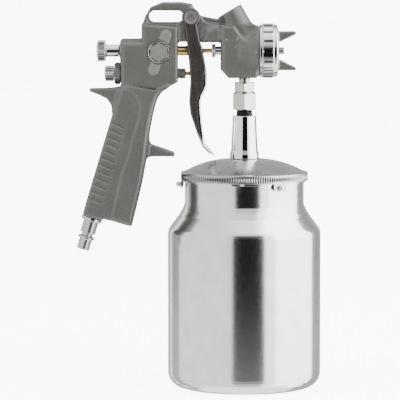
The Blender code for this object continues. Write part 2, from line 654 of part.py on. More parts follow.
def body_blocks():
    """The solids that the casting is joined from, apart from the grip."""
    block = flat("join_block", [
        (BLOCK_REAR, BLOCK_TOP), (BLOCK_REAR, BLOCK_BOTTOM), (BLOCK_FRONT - 11.0, BLOCK_BOTTOM - 2.8),
        (BLOCK_FRONT, BLOCK_BOTTOM + 3.0), (BLOCK_FRONT, HOOK_TOP - 17.0), (HOOK_REAR, HOOK_TOP - 15.0),
        (HOOK_REAR, BLOCK_TOP),
    ], BLOCK_WIDTH, None, ON_NEEDLE)
    bevel(block, 2.0, 1)
    hook = flat("join_hook", [
        (HOOK_REAR, BLOCK_TOP - 6.0), (HOOK_REAR, HOOK_TOP - 13.5), (HOOK_REAR + 7.8, HOOK_TOP),
        (PIVOT[0], HOOK_TOP), (PIVOT[0] + 3.1, HOOK_TOP - 5.4), (PIVOT[0] + 6.4, HOOK_TOP - 7.9),
        (PIVOT[0] + 6.4, ARM_UNDER + 2.0), (BLOCK_FRONT - 4.0, ARM_UNDER + 2.0),
        (BLOCK_FRONT - 4.0, BLOCK_TOP - 6.0),
    ], HOOK_WIDTH, None, ON_NEEDLE)
    arm = flat("join_arm", [
        (BLOCK_FRONT - 5.0, ARM_UNDER), (HEAD_REAR + 5.0, ARM_UNDER), (HEAD_REAR + 5.0, HOOK_TOP - 11.5),
        (HEAD_REAR - 1.9, HOOK_TOP - 10.8), (PIVOT[0] + 6.4, HOOK_TOP - 8.2),
        (PIVOT[0] - 6.0, HOOK_TOP - 3.5), (BLOCK_FRONT - 5.0, HOOK_TOP - 17.5),
    ], ARM_WIDTH, None, ON_NEEDLE)
    head = flat("join_head", [
        (HEAD_REAR, HOOK_TOP - 15.5), (HEAD_REAR, 6.0 - HEAD_DROP), (HEAD_REAR + 5.4, -HEAD_DROP),
        (HEAD_FRONT - 2.3, -HEAD_DROP), (HEAD_FRONT - 0.3, 1.8 - HEAD_DROP),
        (HEAD_FRONT - 0.3, HEAD_DROP - 2.4), (HEAD_FRONT - 3.8, HEAD_DROP - 0.2),
    ], HEAD_WIDTH, None, ON_NEEDLE)
    bevel(head, 3.0, 2)
    nose = turned("join_nose", [
        (0.0, SPIGOT_FRONT), (SPIGOT_RADIUS, SPIGOT_FRONT), (SPIGOT_RADIUS, HEAD_FRONT),
        (HEAD_RADIUS, HEAD_FRONT), (HEAD_RADIUS, HEAD_REAR + 11.0), (0.0, HEAD_REAR + 5.0),
    ], None, ON_NEEDLE, ALONG_X)
    boss = rod(
        "join_blank_boss", BLANK_BOSS_RADIUS, -BLANK_BOSS_LENGTH, 0.0, None,
        (BLANK_BOSS_TOP[0], 0.0, NEEDLE_Z + BLANK_BOSS_TOP[1]), (0.0, -BLANK_BOSS_LEAN, 0.0), ROUND,
    )
    thumb = flat("join_thumb_spur", [
        (BLOCK_REAR + 0.6, BLOCK_BOTTOM - 1.2), (BLOCK_REAR - THUMB_SPUR_REACH, BLOCK_BOTTOM - 2.2),
        (BLOCK_REAR - THUMB_SPUR_REACH * 0.70, BLOCK_BOTTOM - 5.9),
        (BLOCK_REAR - THUMB_SPUR_REACH * 0.45, BLOCK_BOTTOM - 8.7),
        (BLOCK_REAR - THUMB_SPUR_REACH * 0.30, BLOCK_BOTTOM - 13.1),
        (BLOCK_REAR - THUMB_SPUR_REACH * 0.25, BLOCK_BOTTOM - 17.5),
        (BLOCK_REAR + 6.0, BLOCK_BOTTOM - 17.5), (BLOCK_REAR + 6.0, BLOCK_BOTTOM + 3.0),
        (BLOCK_REAR + 0.6, BLOCK_BOTTOM + 3.0),
    ], THUMB_SPUR_WIDTH, None, ON_NEEDLE)
    place_down = FINGER_SPUR_PLACE
    front = GRIP_FRONT_TOP
    finger = flat("join_finger_spur", [
        on_grip(place_down + 7.0, front + 3.0), on_grip(place_down + 4.6, front + 8.4),
        on_grip(place_down, front + 8.2 + FINGER_SPUR_REACH), on_grip(place_down - 1.3, front + 8.8 + FINGER_SPUR_REACH),
        on_grip(place_down - 2.6, front + 6.0 + FINGER_SPUR_REACH), on_grip(place_down - 3.1, front + 4.7),
        on_grip(place_down - 6.0, front + 1.0), on_grip(place_down, front - 6.0),
    ], FINGER_SPUR_WIDTH, None, ON_NEEDLE)
    bevel(thumb, 2.5, 1)
    return [block, hook, arm, head, nose, boss, thumb, finger]


def body_bores():
    """What is drilled or cut out of the casting."""
    past_rear = BLOCK_REAR - 6.0
    into_paint = NOZZLE_THREAD_RADIUS + GAP
    nut_mouth = HEAD_REAR - OVERSHOOT
    seat_roof = HEAD_Z + NIPPLE_SEAT + GAP
    packing_end = HEAD_REAR + PACKING_NUT_SEAT + GAP + PACKING_LENGTH + GAP
    gland_end = BLOCK_FRONT + OVERSHOOT
    axis_foot = on_grip(GRIP_LENGTH, 0.0)
    foot = (axis_foot[0], 0.0, NEEDLE_Z + axis_foot[1])
    lean = (0.0, GRIP_LEAN, 0.0)
    riser_x = VALVE_CHAMBER_FRONT + 1.6
    side = AIR_PASSAGE_SIDE
    rise = NEEDLE_Z + AIR_PASSAGE_RISE
    cuts = [
        rod("cut_spring_chamber", CHAMBER_RADIUS, past_rear, CHAMBER_FRONT, None, ON_NEEDLE, ALONG_X, ROUND),
        rod("cut_collar_guide", COLLAR_RADIUS + GAP, CHAMBER_FRONT - 1.0, gland_end, None, ON_NEEDLE, ALONG_X),
        rod("cut_packing", PACKING_RADIUS + GAP, nut_mouth, packing_end, None, ON_NEEDLE, ALONG_X),
        rod("cut_needle_way", NEEDLE_RADIUS + GAP, HEAD_REAR + 1.0, 0.0, None, ON_NEEDLE, ALONG_X),
        rod("cut_nozzle_seat", into_paint, -6.0, SPIGOT_FRONT + 1.0, None, ON_NEEDLE, ALONG_X, ROUND),
        rod(
            "cut_valve_chamber", VALVE_CHAMBER_RADIUS, past_rear, VALVE_CHAMBER_FRONT,
            None, ON_VALVE, ALONG_X, ROUND,
        ),
        rod("cut_gland", GLAND_RADIUS + GAP, VALVE_CHAMBER_FRONT - 1.0, gland_end, None, ON_VALVE, ALONG_X),
        turned("cut_nipple_seat", [
            (0.0, NEEDLE_Z - 1.0), (PAINT_BORE, NEEDLE_Z - 1.0), (PAINT_BORE, seat_roof),
            (NIPPLE_SHANK_RADIUS + GAP, seat_roof), (NIPPLE_SHANK_RADIUS + GAP, HEAD_Z - 2.0),
            (0.0, HEAD_Z - 2.0),
        ]),
        rod("cut_grip_passage", PASSAGE_RADIUS, 2.0, GRIP_LENGTH - 2.0, None, foot, lean),
        rod("cut_inlet_thread", PLUG_THREAD_RADIUS + GAP, -OVERSHOOT, PLUG_THREAD + 1.0, None, foot, lean, ROUND),
        rod("cut_pivot", PIN_RADIUS + GAP, -12.0, 12.0, None, (PIVOT[0], 0.0, NEEDLE_Z + PIVOT[1]), ALONG_Y),
        rod("cut_riser", AIR_PASSAGE_RADIUS, VALVE_Z - 1.0, rise + 1.0, None, (riser_x, side, 0.0), steps=10),
        rod("cut_riser_foot", AIR_PASSAGE_RADIUS, 0.0, side + 1.0, None, (riser_x, 0.0, VALVE_Z), ALONG_Y, 10),
        rod("cut_riser_top", AIR_PASSAGE_RADIUS, 0.0, side + 1.0, None, (riser_x, 0.0, rise), ALONG_Y, 10),
        rod(
            "cut_arm_passage", AIR_PASSAGE_RADIUS, riser_x - 1.0, SPIGOT_FRONT + 1.0,
            None, (0.0, 0.0, rise), ALONG_X, 10,
        ),
    ]
    end = (SLOT_LENGTH - SLOT_HEIGHT) / 2
    slot = arc((end, 0.0), SLOT_HEIGHT / 2, -90.0, 90.0, 8) + arc((-end, 0.0), SLOT_HEIGHT / 2, 90.0, 270.0, 8)
    slot_place = (SLOT_CENTRE[0], 0.0, NEEDLE_Z + SLOT_CENTRE[1])
    cuts.append(flat("cut_hanger_slot", slot, BLOCK_WIDTH + 4.0, None, slot_place))
    recess_y = -BLOCK_WIDTH / 2
    badge_place = (BADGE_CENTRE[0], 0.0, NEEDLE_Z + BADGE_CENTRE[1])
    cuts.append(hexagon(
        "cut_badge_recess", BADGE_FLATS + 2 * GAP, recess_y - 2.0, recess_y + BADGE_RECESS,
        None, badge_place, ALONG_Y,
    ))
    return cuts


def make_body():
    """The cast body with its passages, and the plain badge let into its side."""
    body = flat("gun_body", grip_outline(), GRIP_WIDTH, "grey_paint", ON_NEEDLE)
    bevel(body, 6.0, 2)
    boolean(body, body_blocks(), "UNION")
    boolean(body, body_bores(), "DIFFERENCE")
    under = -BLOCK_WIDTH / 2 + BADGE_RECESS - GAP
    hexagon(
        "side_badge", BADGE_FLATS, under - BADGE_THICK, under, "grey_paint",
        (BADGE_CENTRE[0], 0.0, NEEDLE_Z + BADGE_CENTRE[1]), ALONG_Y,
    )


def make_trigger():
    """The pressed trigger: two cheeks over the arm, joined by a web in front, and its pin and nut."""
    pivot = (PIVOT[0], 0.0, NEEDLE_Z + PIVOT[1])
    ear = arc((0.0, 0.0), EAR_RADIUS, 225.0, -50.0, 14)
    outline = list(TRIGGER_BACK) + ear + [(6.2, -15.9)] + list(TRIGGER_FRONT)
    trigger = flat("trigger", outline, TRIGGER_WIDTH, "dark_chrome", pivot)
    top, bottom = -19.6, -82.0
    inner = [(x - WEB, z) for x, z in TRIGGER_FRONT if z > bottom]
    hollow = [(-20.0, 12.0), (-20.0, bottom), (inner[-1][0] + 0.2, bottom)] + inner[::-1]
    hollow += [(inner[0][0] - 0.3, top), (20.0, top), (20.0, 12.0)]
    channel = flat("cut_trigger_channel", hollow, TRIGGER_WIDTH - 2 * TRIGGER_WALL, None, pivot)
    hole = rod("cut_trigger_hole", PIN_RADIUS + GAP, -20.0, 20.0, None, pivot, ALONG_Y)
    width, height = NEEDLE_SLOT
    slot = box("cut_needle_slot", (20.0, width, height), (COLLAR_FRONT + 2.0, 0.0, NEEDLE_Z + 0.9))
    boolean(trigger, [channel, hole, slot], "DIFFERENCE")
    face = TRIGGER_WIDTH / 2 + GAP
    profile = [
        (0.0, face + PIN_HEAD), (PIN_RADIUS, face + PIN_HEAD), (PIN_RADIUS, -face), (PIN_HEAD_RADIUS, -face),
        (PIN_HEAD_RADIUS, -face - PIN_HEAD), (0.0, -face - PIN_HEAD),
    ]
    turned("trigger_pin", profile, "black_steel", pivot, ALONG_Y)
    sleeve("trigger_pin_nut", PIN_HEAD_RADIUS, PIN_RADIUS + GAP, face, face + PIN_HEAD, "black_steel", pivot, ALONG_Y)


def make_needle():
    """The needle with its collar and spring, its packing, and the knob that sets how far it opens."""
    nozzle_inner = NOZZLE_FRONT - 10.8
    profile = [
        (0.0, NOZZLE_FRONT - NEEDLE_TIP_REACH), (ORIFICE - 0.35, NOZZLE_FRONT - NEEDLE_TIP_REACH),
        (NEEDLE_RADIUS, nozzle_inner), (NEEDLE_RADIUS, NEEDLE_REAR), (0.0, NEEDLE_REAR),
    ]
    turned("needle", profile, "brass", ON_NEEDLE, ALONG_X)
    profile = [
        (COLLAR_RADIUS, COLLAR_FRONT), (COLLAR_RADIUS, COLLAR_REAR + COLLAR_FLANGE),
        (COLLAR_FLANGE_RADIUS, COLLAR_REAR + COLLAR_FLANGE), (COLLAR_FLANGE_RADIUS, COLLAR_REAR),
        (NEEDLE_RADIUS + GAP, COLLAR_REAR), (NEEDLE_RADIUS + GAP, COLLAR_FRONT),
    ]
    turned("needle_collar", profile, "brass", ON_NEEDLE, ALONG_X, bored=True)
    spring("needle_spring", CHAMBER_RADIUS - GAP - WIRE, BUSH_FRONT, COLLAR_REAR, ON_NEEDLE)
    sleeve(
        "fluid_knob_bush", CHAMBER_RADIUS - GAP, SHANK_RADIUS + GAP, BLOCK_REAR + GAP, BUSH_FRONT, "brass",
        ON_NEEDLE, ALONG_X,
    )
    ring_rear = BLOCK_REAR - GAP - KNOB_RING
    sleeve(
        "fluid_knob_ring", BARREL_RADIUS + 0.3, SHANK_RADIUS + GAP, ring_rear, BLOCK_REAR - GAP, "rubber",
        ON_NEEDLE, ALONG_X,
    )
    barrel_front = ring_rear - GAP
    knob_front = barrel_front - BARREL_LENGTH
    shank_end = NEEDLE_REAR - KNOB_STOP
    profile = [
        (0.0, shank_end), (SHANK_RADIUS, shank_end), (SHANK_RADIUS, barrel_front), (BARREL_RADIUS, barrel_front),
        (BARREL_RADIUS, knob_front), (KNOB_RADIUS, knob_front - 0.5), (KNOB_RADIUS, knob_front - KNOB_LENGTH + 0.6),
        (KNOB_RADIUS - 0.8, knob_front - KNOB_LENGTH), (0.0, knob_front - KNOB_LENGTH),
    ]
    turned("fluid_knob", profile, "chrome", ON_NEEDLE, ALONG_X)
    nut_end = HEAD_REAR + PACKING_NUT_SEAT
    flange = HEAD_REAR - PACKING_NUT_NECK
    profile = [
        (PACKING_RADIUS, nut_end), (PACKING_RADIUS, flange), (PACKING_NUT_FLANGE_RADIUS, flange),
        (PACKING_NUT_FLANGE_RADIUS, flange - PACKING_NUT_FLANGE), (NEEDLE_RADIUS + GAP, flange - PACKING_NUT_FLANGE),
        (NEEDLE_RADIUS + GAP, nut_end),
    ]
    turned("needle_packing_nut", profile, "chrome", ON_NEEDLE, ALONG_X, bored=True)
    sleeve(
        "needle_packing", PACKING_RADIUS, NEEDLE_RADIUS + GAP, nut_end + GAP, nut_end + GAP + PACKING_LENGTH,
        "ptfe", ON_NEEDLE, ALONG_X, BORE,
    )


def make_air_valve():
    """The air valve's stem, seal, seat, spring and gland, and the plug and knob behind them."""
    profile = [
        (0.0, VALVE_STEM_TIP), (VALVE_STEM_RADIUS * 0.7, VALVE_STEM_TIP - 0.4),
        (VALVE_STEM_RADIUS, VALVE_STEM_TIP - 1.2), (VALVE_STEM_RADIUS, STEM_REAR + STEM_HEAD),
        (STEM_HEAD_RADIUS, STEM_REAR + STEM_HEAD), (STEM_HEAD_RADIUS, STEM_REAR), (0.0, STEM_REAR),
    ]
    turned("air_valve_stem", profile, "bronze", ON_VALVE, ALONG_X, BORE)
    hole = VALVE_STEM_RADIUS + GAP
    sleeve("air_valve_seal", SEAL_RADIUS, hole, SEAL_REAR, SEAL_REAR + SEAL_THICK, "rubber", ON_VALVE, ALONG_X)
    outer = VALVE_CHAMBER_RADIUS - GAP
    sleeve("air_valve_seat", outer, SEAT_BORE, SEAT_REAR, SEAT_REAR + SEAT_THICK, "brass", ON_VALVE, ALONG_X)
    gland_rear = BLOCK_FRONT - GLAND_SEAT
    profile = [
        (GLAND_RADIUS - 0.4, BLOCK_FRONT + GLAND_SHOWN), (GLAND_RADIUS, BLOCK_FRONT + GLAND_SHOWN - 0.6),
        (GLAND_RADIUS, gland_rear), (hole, gland_rear), (hole, BLOCK_FRONT + GLAND_SHOWN),
    ]
    turned("air_valve_gland_nut", profile, "dark_chrome", ON_VALVE, ALONG_X, bored=True)
    packing_front = gland_rear - GAP
    sleeve(
        "air_valve_packing", GLAND_RADIUS, hole, packing_front - GLAND_PACKING, packing_front, "ptfe",
        ON_VALVE, ALONG_X, BORE,
    )
    hex_front = BLOCK_REAR - GAP
    flats = PLUG_HEX_CORNERS * math.cos(math.radians(30))
    plug = hexagon(
        "air_valve_plug", flats, hex_front - PLUG_HEX, hex_front, "black_steel", ON_VALVE, ALONG_X, 0.0
    )
    plug_end = hex_front + PLUG_SHANK
    shank = rod("join_plug_shank", PLUG_SHANK_RADIUS, hex_front - 2.0, plug_end, None, ON_VALVE, ALONG_X, ROUND)
    bore_radius = AIR_SHANK_RADIUS + GAP
    bore = rod("cut_plug", bore_radius, hex_front - 20.0, plug_end + 5.0, None, ON_VALVE, ALONG_X)
    boolean(plug, [shank], "UNION")
    boolean(plug, [bore], "DIFFERENCE")
    spring("air_valve_spring", VALVE_CHAMBER_RADIUS - GAP - WIRE, plug_end, STEM_REAR, ON_VALVE)
    knob_front = hex_front - PLUG_HEX - GAP
    shank_end = STEM_REAR - VALVE_TRAVEL - GAP
    profile = [
        (0.0, shank_end), (AIR_SHANK_RADIUS, shank_end), (AIR_SHANK_RADIUS, knob_front),
        (AIR_KNOB_RADIUS, knob_front), (AIR_KNOB_RADIUS, knob_front - AIR_KNOB_LENGTH + 0.7),
        (AIR_KNOB_RADIUS - 0.7, knob_front - AIR_KNOB_LENGTH), (0.0, knob_front - AIR_KNOB_LENGTH),
    ]
    turned("air_knob", profile, "chrome", ON_VALVE, ALONG_X)


def make_front():
    """The fluid nozzle on its gasket, the air cap with its two horns, and the ring that holds the cap."""
    face = SPIGOT_FRONT
    sleeve(
        "nozzle_gasket", NOZZLE_FLANGE_RADIUS, NOZZLE_THREAD_RADIUS + GAP, face + GAP, face + GAP + NOZZLE_GASKET,
        "bronze", ON_NEEDLE, ALONG_X,
    )
    flange = face + 2 * GAP + NOZZLE_GASKET
    cavity = CAP_FACE - CAP_WALL
    rear = face - NOZZLE_SEAT
    bore = NOZZLE_THREAD_RADIUS - 2.4
    profile = [
        (NOZZLE_TIP_RADIUS, NOZZLE_FRONT), (NOZZLE_TIP_RADIUS, cavity - 0.4),
        (NOZZLE_FLANGE_RADIUS, flange + NOZZLE_FLANGE), (NOZZLE_FLANGE_RADIUS, flange),
        (NOZZLE_THREAD_RADIUS, flange), (NOZZLE_THREAD_RADIUS, rear), (bore, rear),
        (bore, NOZZLE_FRONT - 10.3), (ORIFICE, NOZZLE_FRONT - 1.3), (ORIFICE, NOZZLE_FRONT),
    ]
    turned("fluid_nozzle", profile, "nickel", ON_NEEDLE, ALONG_X, bored=True)
    cap_flange_radius = SPIGOT_RADIUS
    cap_rear = face + GAP
    lip_rear = cap_rear + CAP_FLANGE
    hole = NOZZLE_TIP_RADIUS + GAP
    hollow = CAP_RADIUS - 1.5
    profile = [
        (CAP_RADIUS - 0.8, CAP_FACE), (CAP_RADIUS, CAP_FACE - 0.8), (CAP_RADIUS, lip_rear),
        (cap_flange_radius, lip_rear), (cap_flange_radius, cap_rear), (hollow, cap_rear), (hollow, cavity),
        (hole, cavity), (hole, CAP_FACE),
    ]
    cap = turned("air_cap", profile, "dark_chrome", ON_NEEDLE, ALONG_X, bored=True)
    tip = CAP_FACE + HORN_REACH
    inside = CAP_FACE - CAP_WALL / 2
    horn = [
        (inside, HORN_OUTER - 2.4), (CAP_FACE + 1.5, HORN_OUTER), (tip - 0.5, HORN_OUTER), (tip, HORN_OUTER - 1.2),
        (tip - 1.2, HORN_OUTER - 2.6), (CAP_FACE + 1.9, 6.6), (CAP_FACE + 0.5, 4.6), (inside, 4.6),
    ]
    upper = flat("join_upper_horn", horn, HORN_WIDTH, None, ON_NEEDLE)
    lower = flat("join_lower_horn", [(x, -z) for x, z in reversed(horn)], HORN_WIDTH, None, ON_NEEDLE)
    boolean(cap, [upper, lower], "UNION")
    ring_rear = HEAD_FRONT + GAP
    inner = SPIGOT_RADIUS + GAP
    lip = CAP_RADIUS + GAP
    profile = [
        (RING_RADIUS - 1.0, RING_FRONT), (RING_RADIUS - 0.6, RING_FRONT - RING_LIP),
        (RING_RADIUS, RING_FRONT - RING_LIP - 0.3), (RING_RADIUS, ring_rear + RING_COLLAR + 0.3),
        (RING_RADIUS - 0.7, ring_rear + RING_COLLAR), (RING_RADIUS - 0.7, ring_rear), (inner, ring_rear),
        (inner, lip_rear + GAP), (lip, lip_rear + GAP), (lip, RING_FRONT),
    ]
    turned("air_cap_ring", profile, "polished_aluminium", ON_NEEDLE, ALONG_X, FINE, bored=True)


def make_inlet():
    """The sealing ring and the quick-connect plug at the foot of the grip."""
    axis_foot = on_grip(GRIP_LENGTH, 0.0)
    foot = (axis_foot[0], 0.0, NEEDLE_Z + axis_foot[1])
    lean = (0.0, GRIP_LEAN, 0.0)
    ring_low = -GAP - INLET_RING_THICK
    sleeve("inlet_ring", INLET_RING_RADIUS, PLUG_THREAD_RADIUS + GAP, ring_low, -GAP, "nickel", foot, lean)
    top = ring_low - GAP
    mid = top - PLUG_BARREL
    end = mid - PLUG_TAIL
    profile = [
        (PLUG_THREAD_RADIUS, PLUG_THREAD), (PLUG_THREAD_RADIUS, top), (PLUG_BARREL_RADIUS, top),
        (PLUG_BARREL_RADIUS, mid), (PLUG_WAIST_RADIUS, mid - 0.4), (PLUG_WAIST_RADIUS, mid - 1.6),
        (PLUG_COLLAR_RADIUS, mid - 2.6), (PLUG_COLLAR_RADIUS, mid - 4.2), (PLUG_WAIST_RADIUS, mid - 5.4),
        (PLUG_WAIST_RADIUS, mid - 7.4), (PLUG_NOSE_RADIUS, mid - 8.4), (PLUG_NOSE_RADIUS, end + 0.6),
        (PLUG_NOSE_RADIUS - 0.6, end), (PLUG_BORE, end), (PLUG_BORE, PLUG_THREAD),
    ]
    turned("air_plug", profile, "nickel", foot, lean, bored=True)


def main():
    """Clears the scene and builds each sub-assembly."""
    for obj in list(bpy.data.objects):
        bpy.data.objects.remove(obj)
    make_cup()
    make_lid()
    make_rivets()
    make_stem()
    make_union()
    make_body()
    make_trigger()
    make_needle()
    make_air_valve()
    make_front()
    make_inlet()


main()
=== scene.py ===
"""The looks of a suction-feed HVLP spray gun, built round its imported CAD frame."""

import sys

import enum
import logging
import math
from dataclasses import dataclass
from typing import Callable, Sequence

import bpy
import numpy as np
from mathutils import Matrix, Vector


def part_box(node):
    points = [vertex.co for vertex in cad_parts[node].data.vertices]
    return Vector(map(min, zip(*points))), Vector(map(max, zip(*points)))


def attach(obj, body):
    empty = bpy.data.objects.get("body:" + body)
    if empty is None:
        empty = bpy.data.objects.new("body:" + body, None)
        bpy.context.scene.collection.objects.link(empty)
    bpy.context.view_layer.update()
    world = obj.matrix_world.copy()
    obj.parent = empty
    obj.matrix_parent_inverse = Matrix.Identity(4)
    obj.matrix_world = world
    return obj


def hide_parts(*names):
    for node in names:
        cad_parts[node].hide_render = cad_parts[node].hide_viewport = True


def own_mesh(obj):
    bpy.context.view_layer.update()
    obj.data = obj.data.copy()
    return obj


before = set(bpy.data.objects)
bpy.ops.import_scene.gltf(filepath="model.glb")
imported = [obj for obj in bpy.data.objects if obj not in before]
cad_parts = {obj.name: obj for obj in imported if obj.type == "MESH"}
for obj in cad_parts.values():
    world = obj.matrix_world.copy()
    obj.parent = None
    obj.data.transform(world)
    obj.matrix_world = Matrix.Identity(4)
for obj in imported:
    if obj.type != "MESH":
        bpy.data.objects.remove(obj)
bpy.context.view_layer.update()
LOG = logging.getLogger("spray_gun")
MM = 0.001

# The needle's and the air valve's axes run along X at these heights in millimetres; the grip leans back.
NEEDLE_Z = 235.5
VALVE_Z = 219.7
LEAN = math.radians(16.8)
GRIP_FOOT = (-106.35, 0.0, 119.18)

Points = Sequence[tuple[float, float]]
Radius = Callable[[np.ndarray, np.ndarray, np.ndarray], np.ndarray]


class Axis(enum.Enum):
    """The axis that a turned piece goes round, as its two cross directions and its own."""

    UP = ((1, 0, 0), (0, 1, 0), (0, 0, 1))
    ALONG_X = ((0, 1, 0), (0, 0, 1), (1, 0, 0))
    ALONG_Y = ((0, 0, 1), (1, 0, 0), (0, 1, 0))
    GRIP = (
        (math.cos(LEAN), 0, -math.sin(LEAN)), (0, 1, 0), (math.sin(LEAN), 0, math.cos(LEAN)),
    )


class Slot(enum.Enum):
    """The material slots."""

    CAST = "cast_grey"
    CUP = "cup_aluminium"
    LID = "lid_aluminium"
    RING = "ring_aluminium"
    CHROME = "chrome_plate"
    NICKEL = "nickel_plate"
    BRASS = "brass"
    BRONZE = "bronze"
    BLACK = "black_steel"
    DARK = "dark_chrome"
    STEEL = "plain_steel"
    RUBBER = "black_rubber"
    PTFE = "white_ptfe"


def linear(code: str) -> tuple[float, float, float, float]:
    """Gives a hex sRGB colour as linear RGBA.

    A channel c goes to c / 12.92 up to 0.04045, and to ((c + 0.055) / 1.055) to the power 2.4
    above that.

    Args:
        code: The colour, as "#rrggbb".

    Returns:
        The three linear channels and an alpha of one.
    """
    channels = [int(code[i:i + 2], 16) / 255 for i in (1, 3, 5)]
    red, green, blue = [
        c / 12.92 if c <= 0.04045 else ((c + 0.055) / 1.055) ** 2.4 for c in channels
    ]
    return red, green, blue, 1.0


class Tree:
    """A material's node tree, with one short call that adds a node."""

    def __init__(self, name: str) -> None:
        """Starts an empty material.

        Args:
            name: The material's name.
        """
        self.material = bpy.data.materials.new(name)
        self.material.use_nodes = True
        self.tree = self.material.node_tree
        self.tree.nodes.clear()

    def add(self, kind: str, inputs: dict | None = None, **settings: object) -> bpy.types.Node:
        """Adds a node, with its settings, constants and links.

        Args:
            kind: The node's type, without the leading ShaderNode.
            inputs: A constant or another node's output for each input, by name or number.
            settings: The node's own settings.

        Returns:
            The node.
        """
        node = self.tree.nodes.new("ShaderNode" + kind)
        for key, value in settings.items():
            setattr(node, key, value)
        for key, value in (inputs or {}).items():
            if isinstance(value, bpy.types.NodeSocket):
                self.tree.links.new(value, node.inputs[key])
            else:
                node.inputs[key].default_value = value
        return node

    def noise(
        self, vector: bpy.types.NodeSocket, scale: Sequence[float], detail: float,
    ) -> bpy.types.NodeSocket:
        """Adds a noise whose scale differs along each axis.

        Args:
            vector: The coordinate in metres.
            scale: Features per metre along each axis.
            detail: How many finer layers the noise has.

        Returns:
            The noise's value.
        """
        placed = self.add("Mapping", {"Vector": vector, "Scale": tuple(scale)})
        inputs = {"Vector": placed.outputs[0], "Scale": 1.0, "Detail": detail}
        field = self.add("TexNoise", inputs)
        return field.outputs["Fac"]

    def span(self, value: bpy.types.NodeSocket, low: float, high: float) -> bpy.types.NodeSocket:
        """Maps a noise's middle range, 0.3 to 0.7, onto a range of values.

        Args:
            value: The noise.
            low: The value at 0.3.
            high: The value at 0.7.

        Returns:
            The mapped value.
        """
        node = self.add("MapRange", {0: value, 1: 0.3, 2: 0.7, 3: low, 4: high})
        return node.outputs[0]


@dataclass(frozen=True)
class Finish:
    """A finish: its two colours, how it scatters light, and the marks that its making left.

    grain is the surface's fine grain and lines are its tool marks along each axis, both in features
    per metre. bump and line_depth are how strongly they move the normal.
    """

    name: str
    colour: str
    shade: str
    rough: float
    rough_spread: float = 0.06
    metal: float = 1.0
    grain: float = 900.0
    lines: tuple[float, float, float] = (250.0, 250.0, 250.0)
    line_depth: float = 0.02
    bump: float = 0.02
    coat: float = 0.0

    def material(self) -> bpy.types.Material:
        """Makes the finish's material once, and finds it again after that.

        Two colours are mixed by a broad mottle. Fine grain and the tool marks change the roughness and,
        as bumps of a few micrometres, the normal. The piece's "deep" attribute paints shade into the
        bottoms of its grooves, darker where the cut is deeper, and its "bright" attribute mixes in a
        painted highlight colour and lowers the roughness.

        Returns:
            The material.
        """
        found = bpy.data.materials.get(self.name)
        if found:
            return found
        tree = Tree(self.name)
        place = tree.add("TexCoord").outputs["Object"]
        deep = tree.add("Attribute", attribute_name="deep").outputs["Fac"]
        bright = tree.add("Attribute", attribute_name="bright").outputs["Fac"]
        mottle = tree.noise(place, (90.0, 90.0, 90.0), 3.0)
        grain = tree.noise(place, (self.grain, self.grain, self.grain), 2.0)
        marks = tree.noise(place, self.lines, 2.0)
        mixed = tree.add("Mix", {
            0: tree.span(mottle, 0.0, 1.0), 6: linear(self.colour), 7: linear(self.shade),
        }, data_type="RGBA")
        # Painted highlight: the "bright" layer mixes in a pale colour; it also lowers the roughness.
        highlighted = tree.add("Mix", {
            0: bright, 6: mixed.outputs[2], 7: linear(PAINTED_HIGHLIGHT),
        }, data_type="RGBA")
        # Painted shade: the grooves' bottoms darken towards a near-black colour, more where the cut is
        # deeper.
        groove_shade = tree.add("Math", {0: deep, 1: 0.9}, operation="MULTIPLY")
        colour = tree.add("Mix", {
            0: groove_shade.outputs[0], 6: highlighted.outputs[2], 7: linear(GROOVE_SHADE),
        }, data_type="RGBA")
        half = self.rough_spread / 2
        scatter = tree.add("Math", {
            0: tree.span(grain, self.rough - half, self.rough + half), 1: tree.span(marks, -half, half),
        }, operation="ADD")
        rough = tree.add("Mix", {0: bright, 2: scatter.outputs[0], 3: 0.14}, data_type="FLOAT")
        fine = tree.add("Bump", {"Height": grain, "Distance": 0.0001, "Strength": self.bump})
        normal = tree.add("Bump", {
            "Height": marks, "Distance": 0.0002, "Strength": self.line_depth,
            "Normal": fine.outputs[0],
        })
        shader = tree.add("BsdfPrincipled", {
            "Base Color": colour.outputs[2], "Metallic": self.metal, "Roughness": rough.outputs[0],
            "Normal": normal.outputs[0], "Coat Weight": self.coat, "Coat Roughness": 0.12,
        })
        tree.add("OutputMaterial", {0: shader.outputs[0]})
        return tree.material


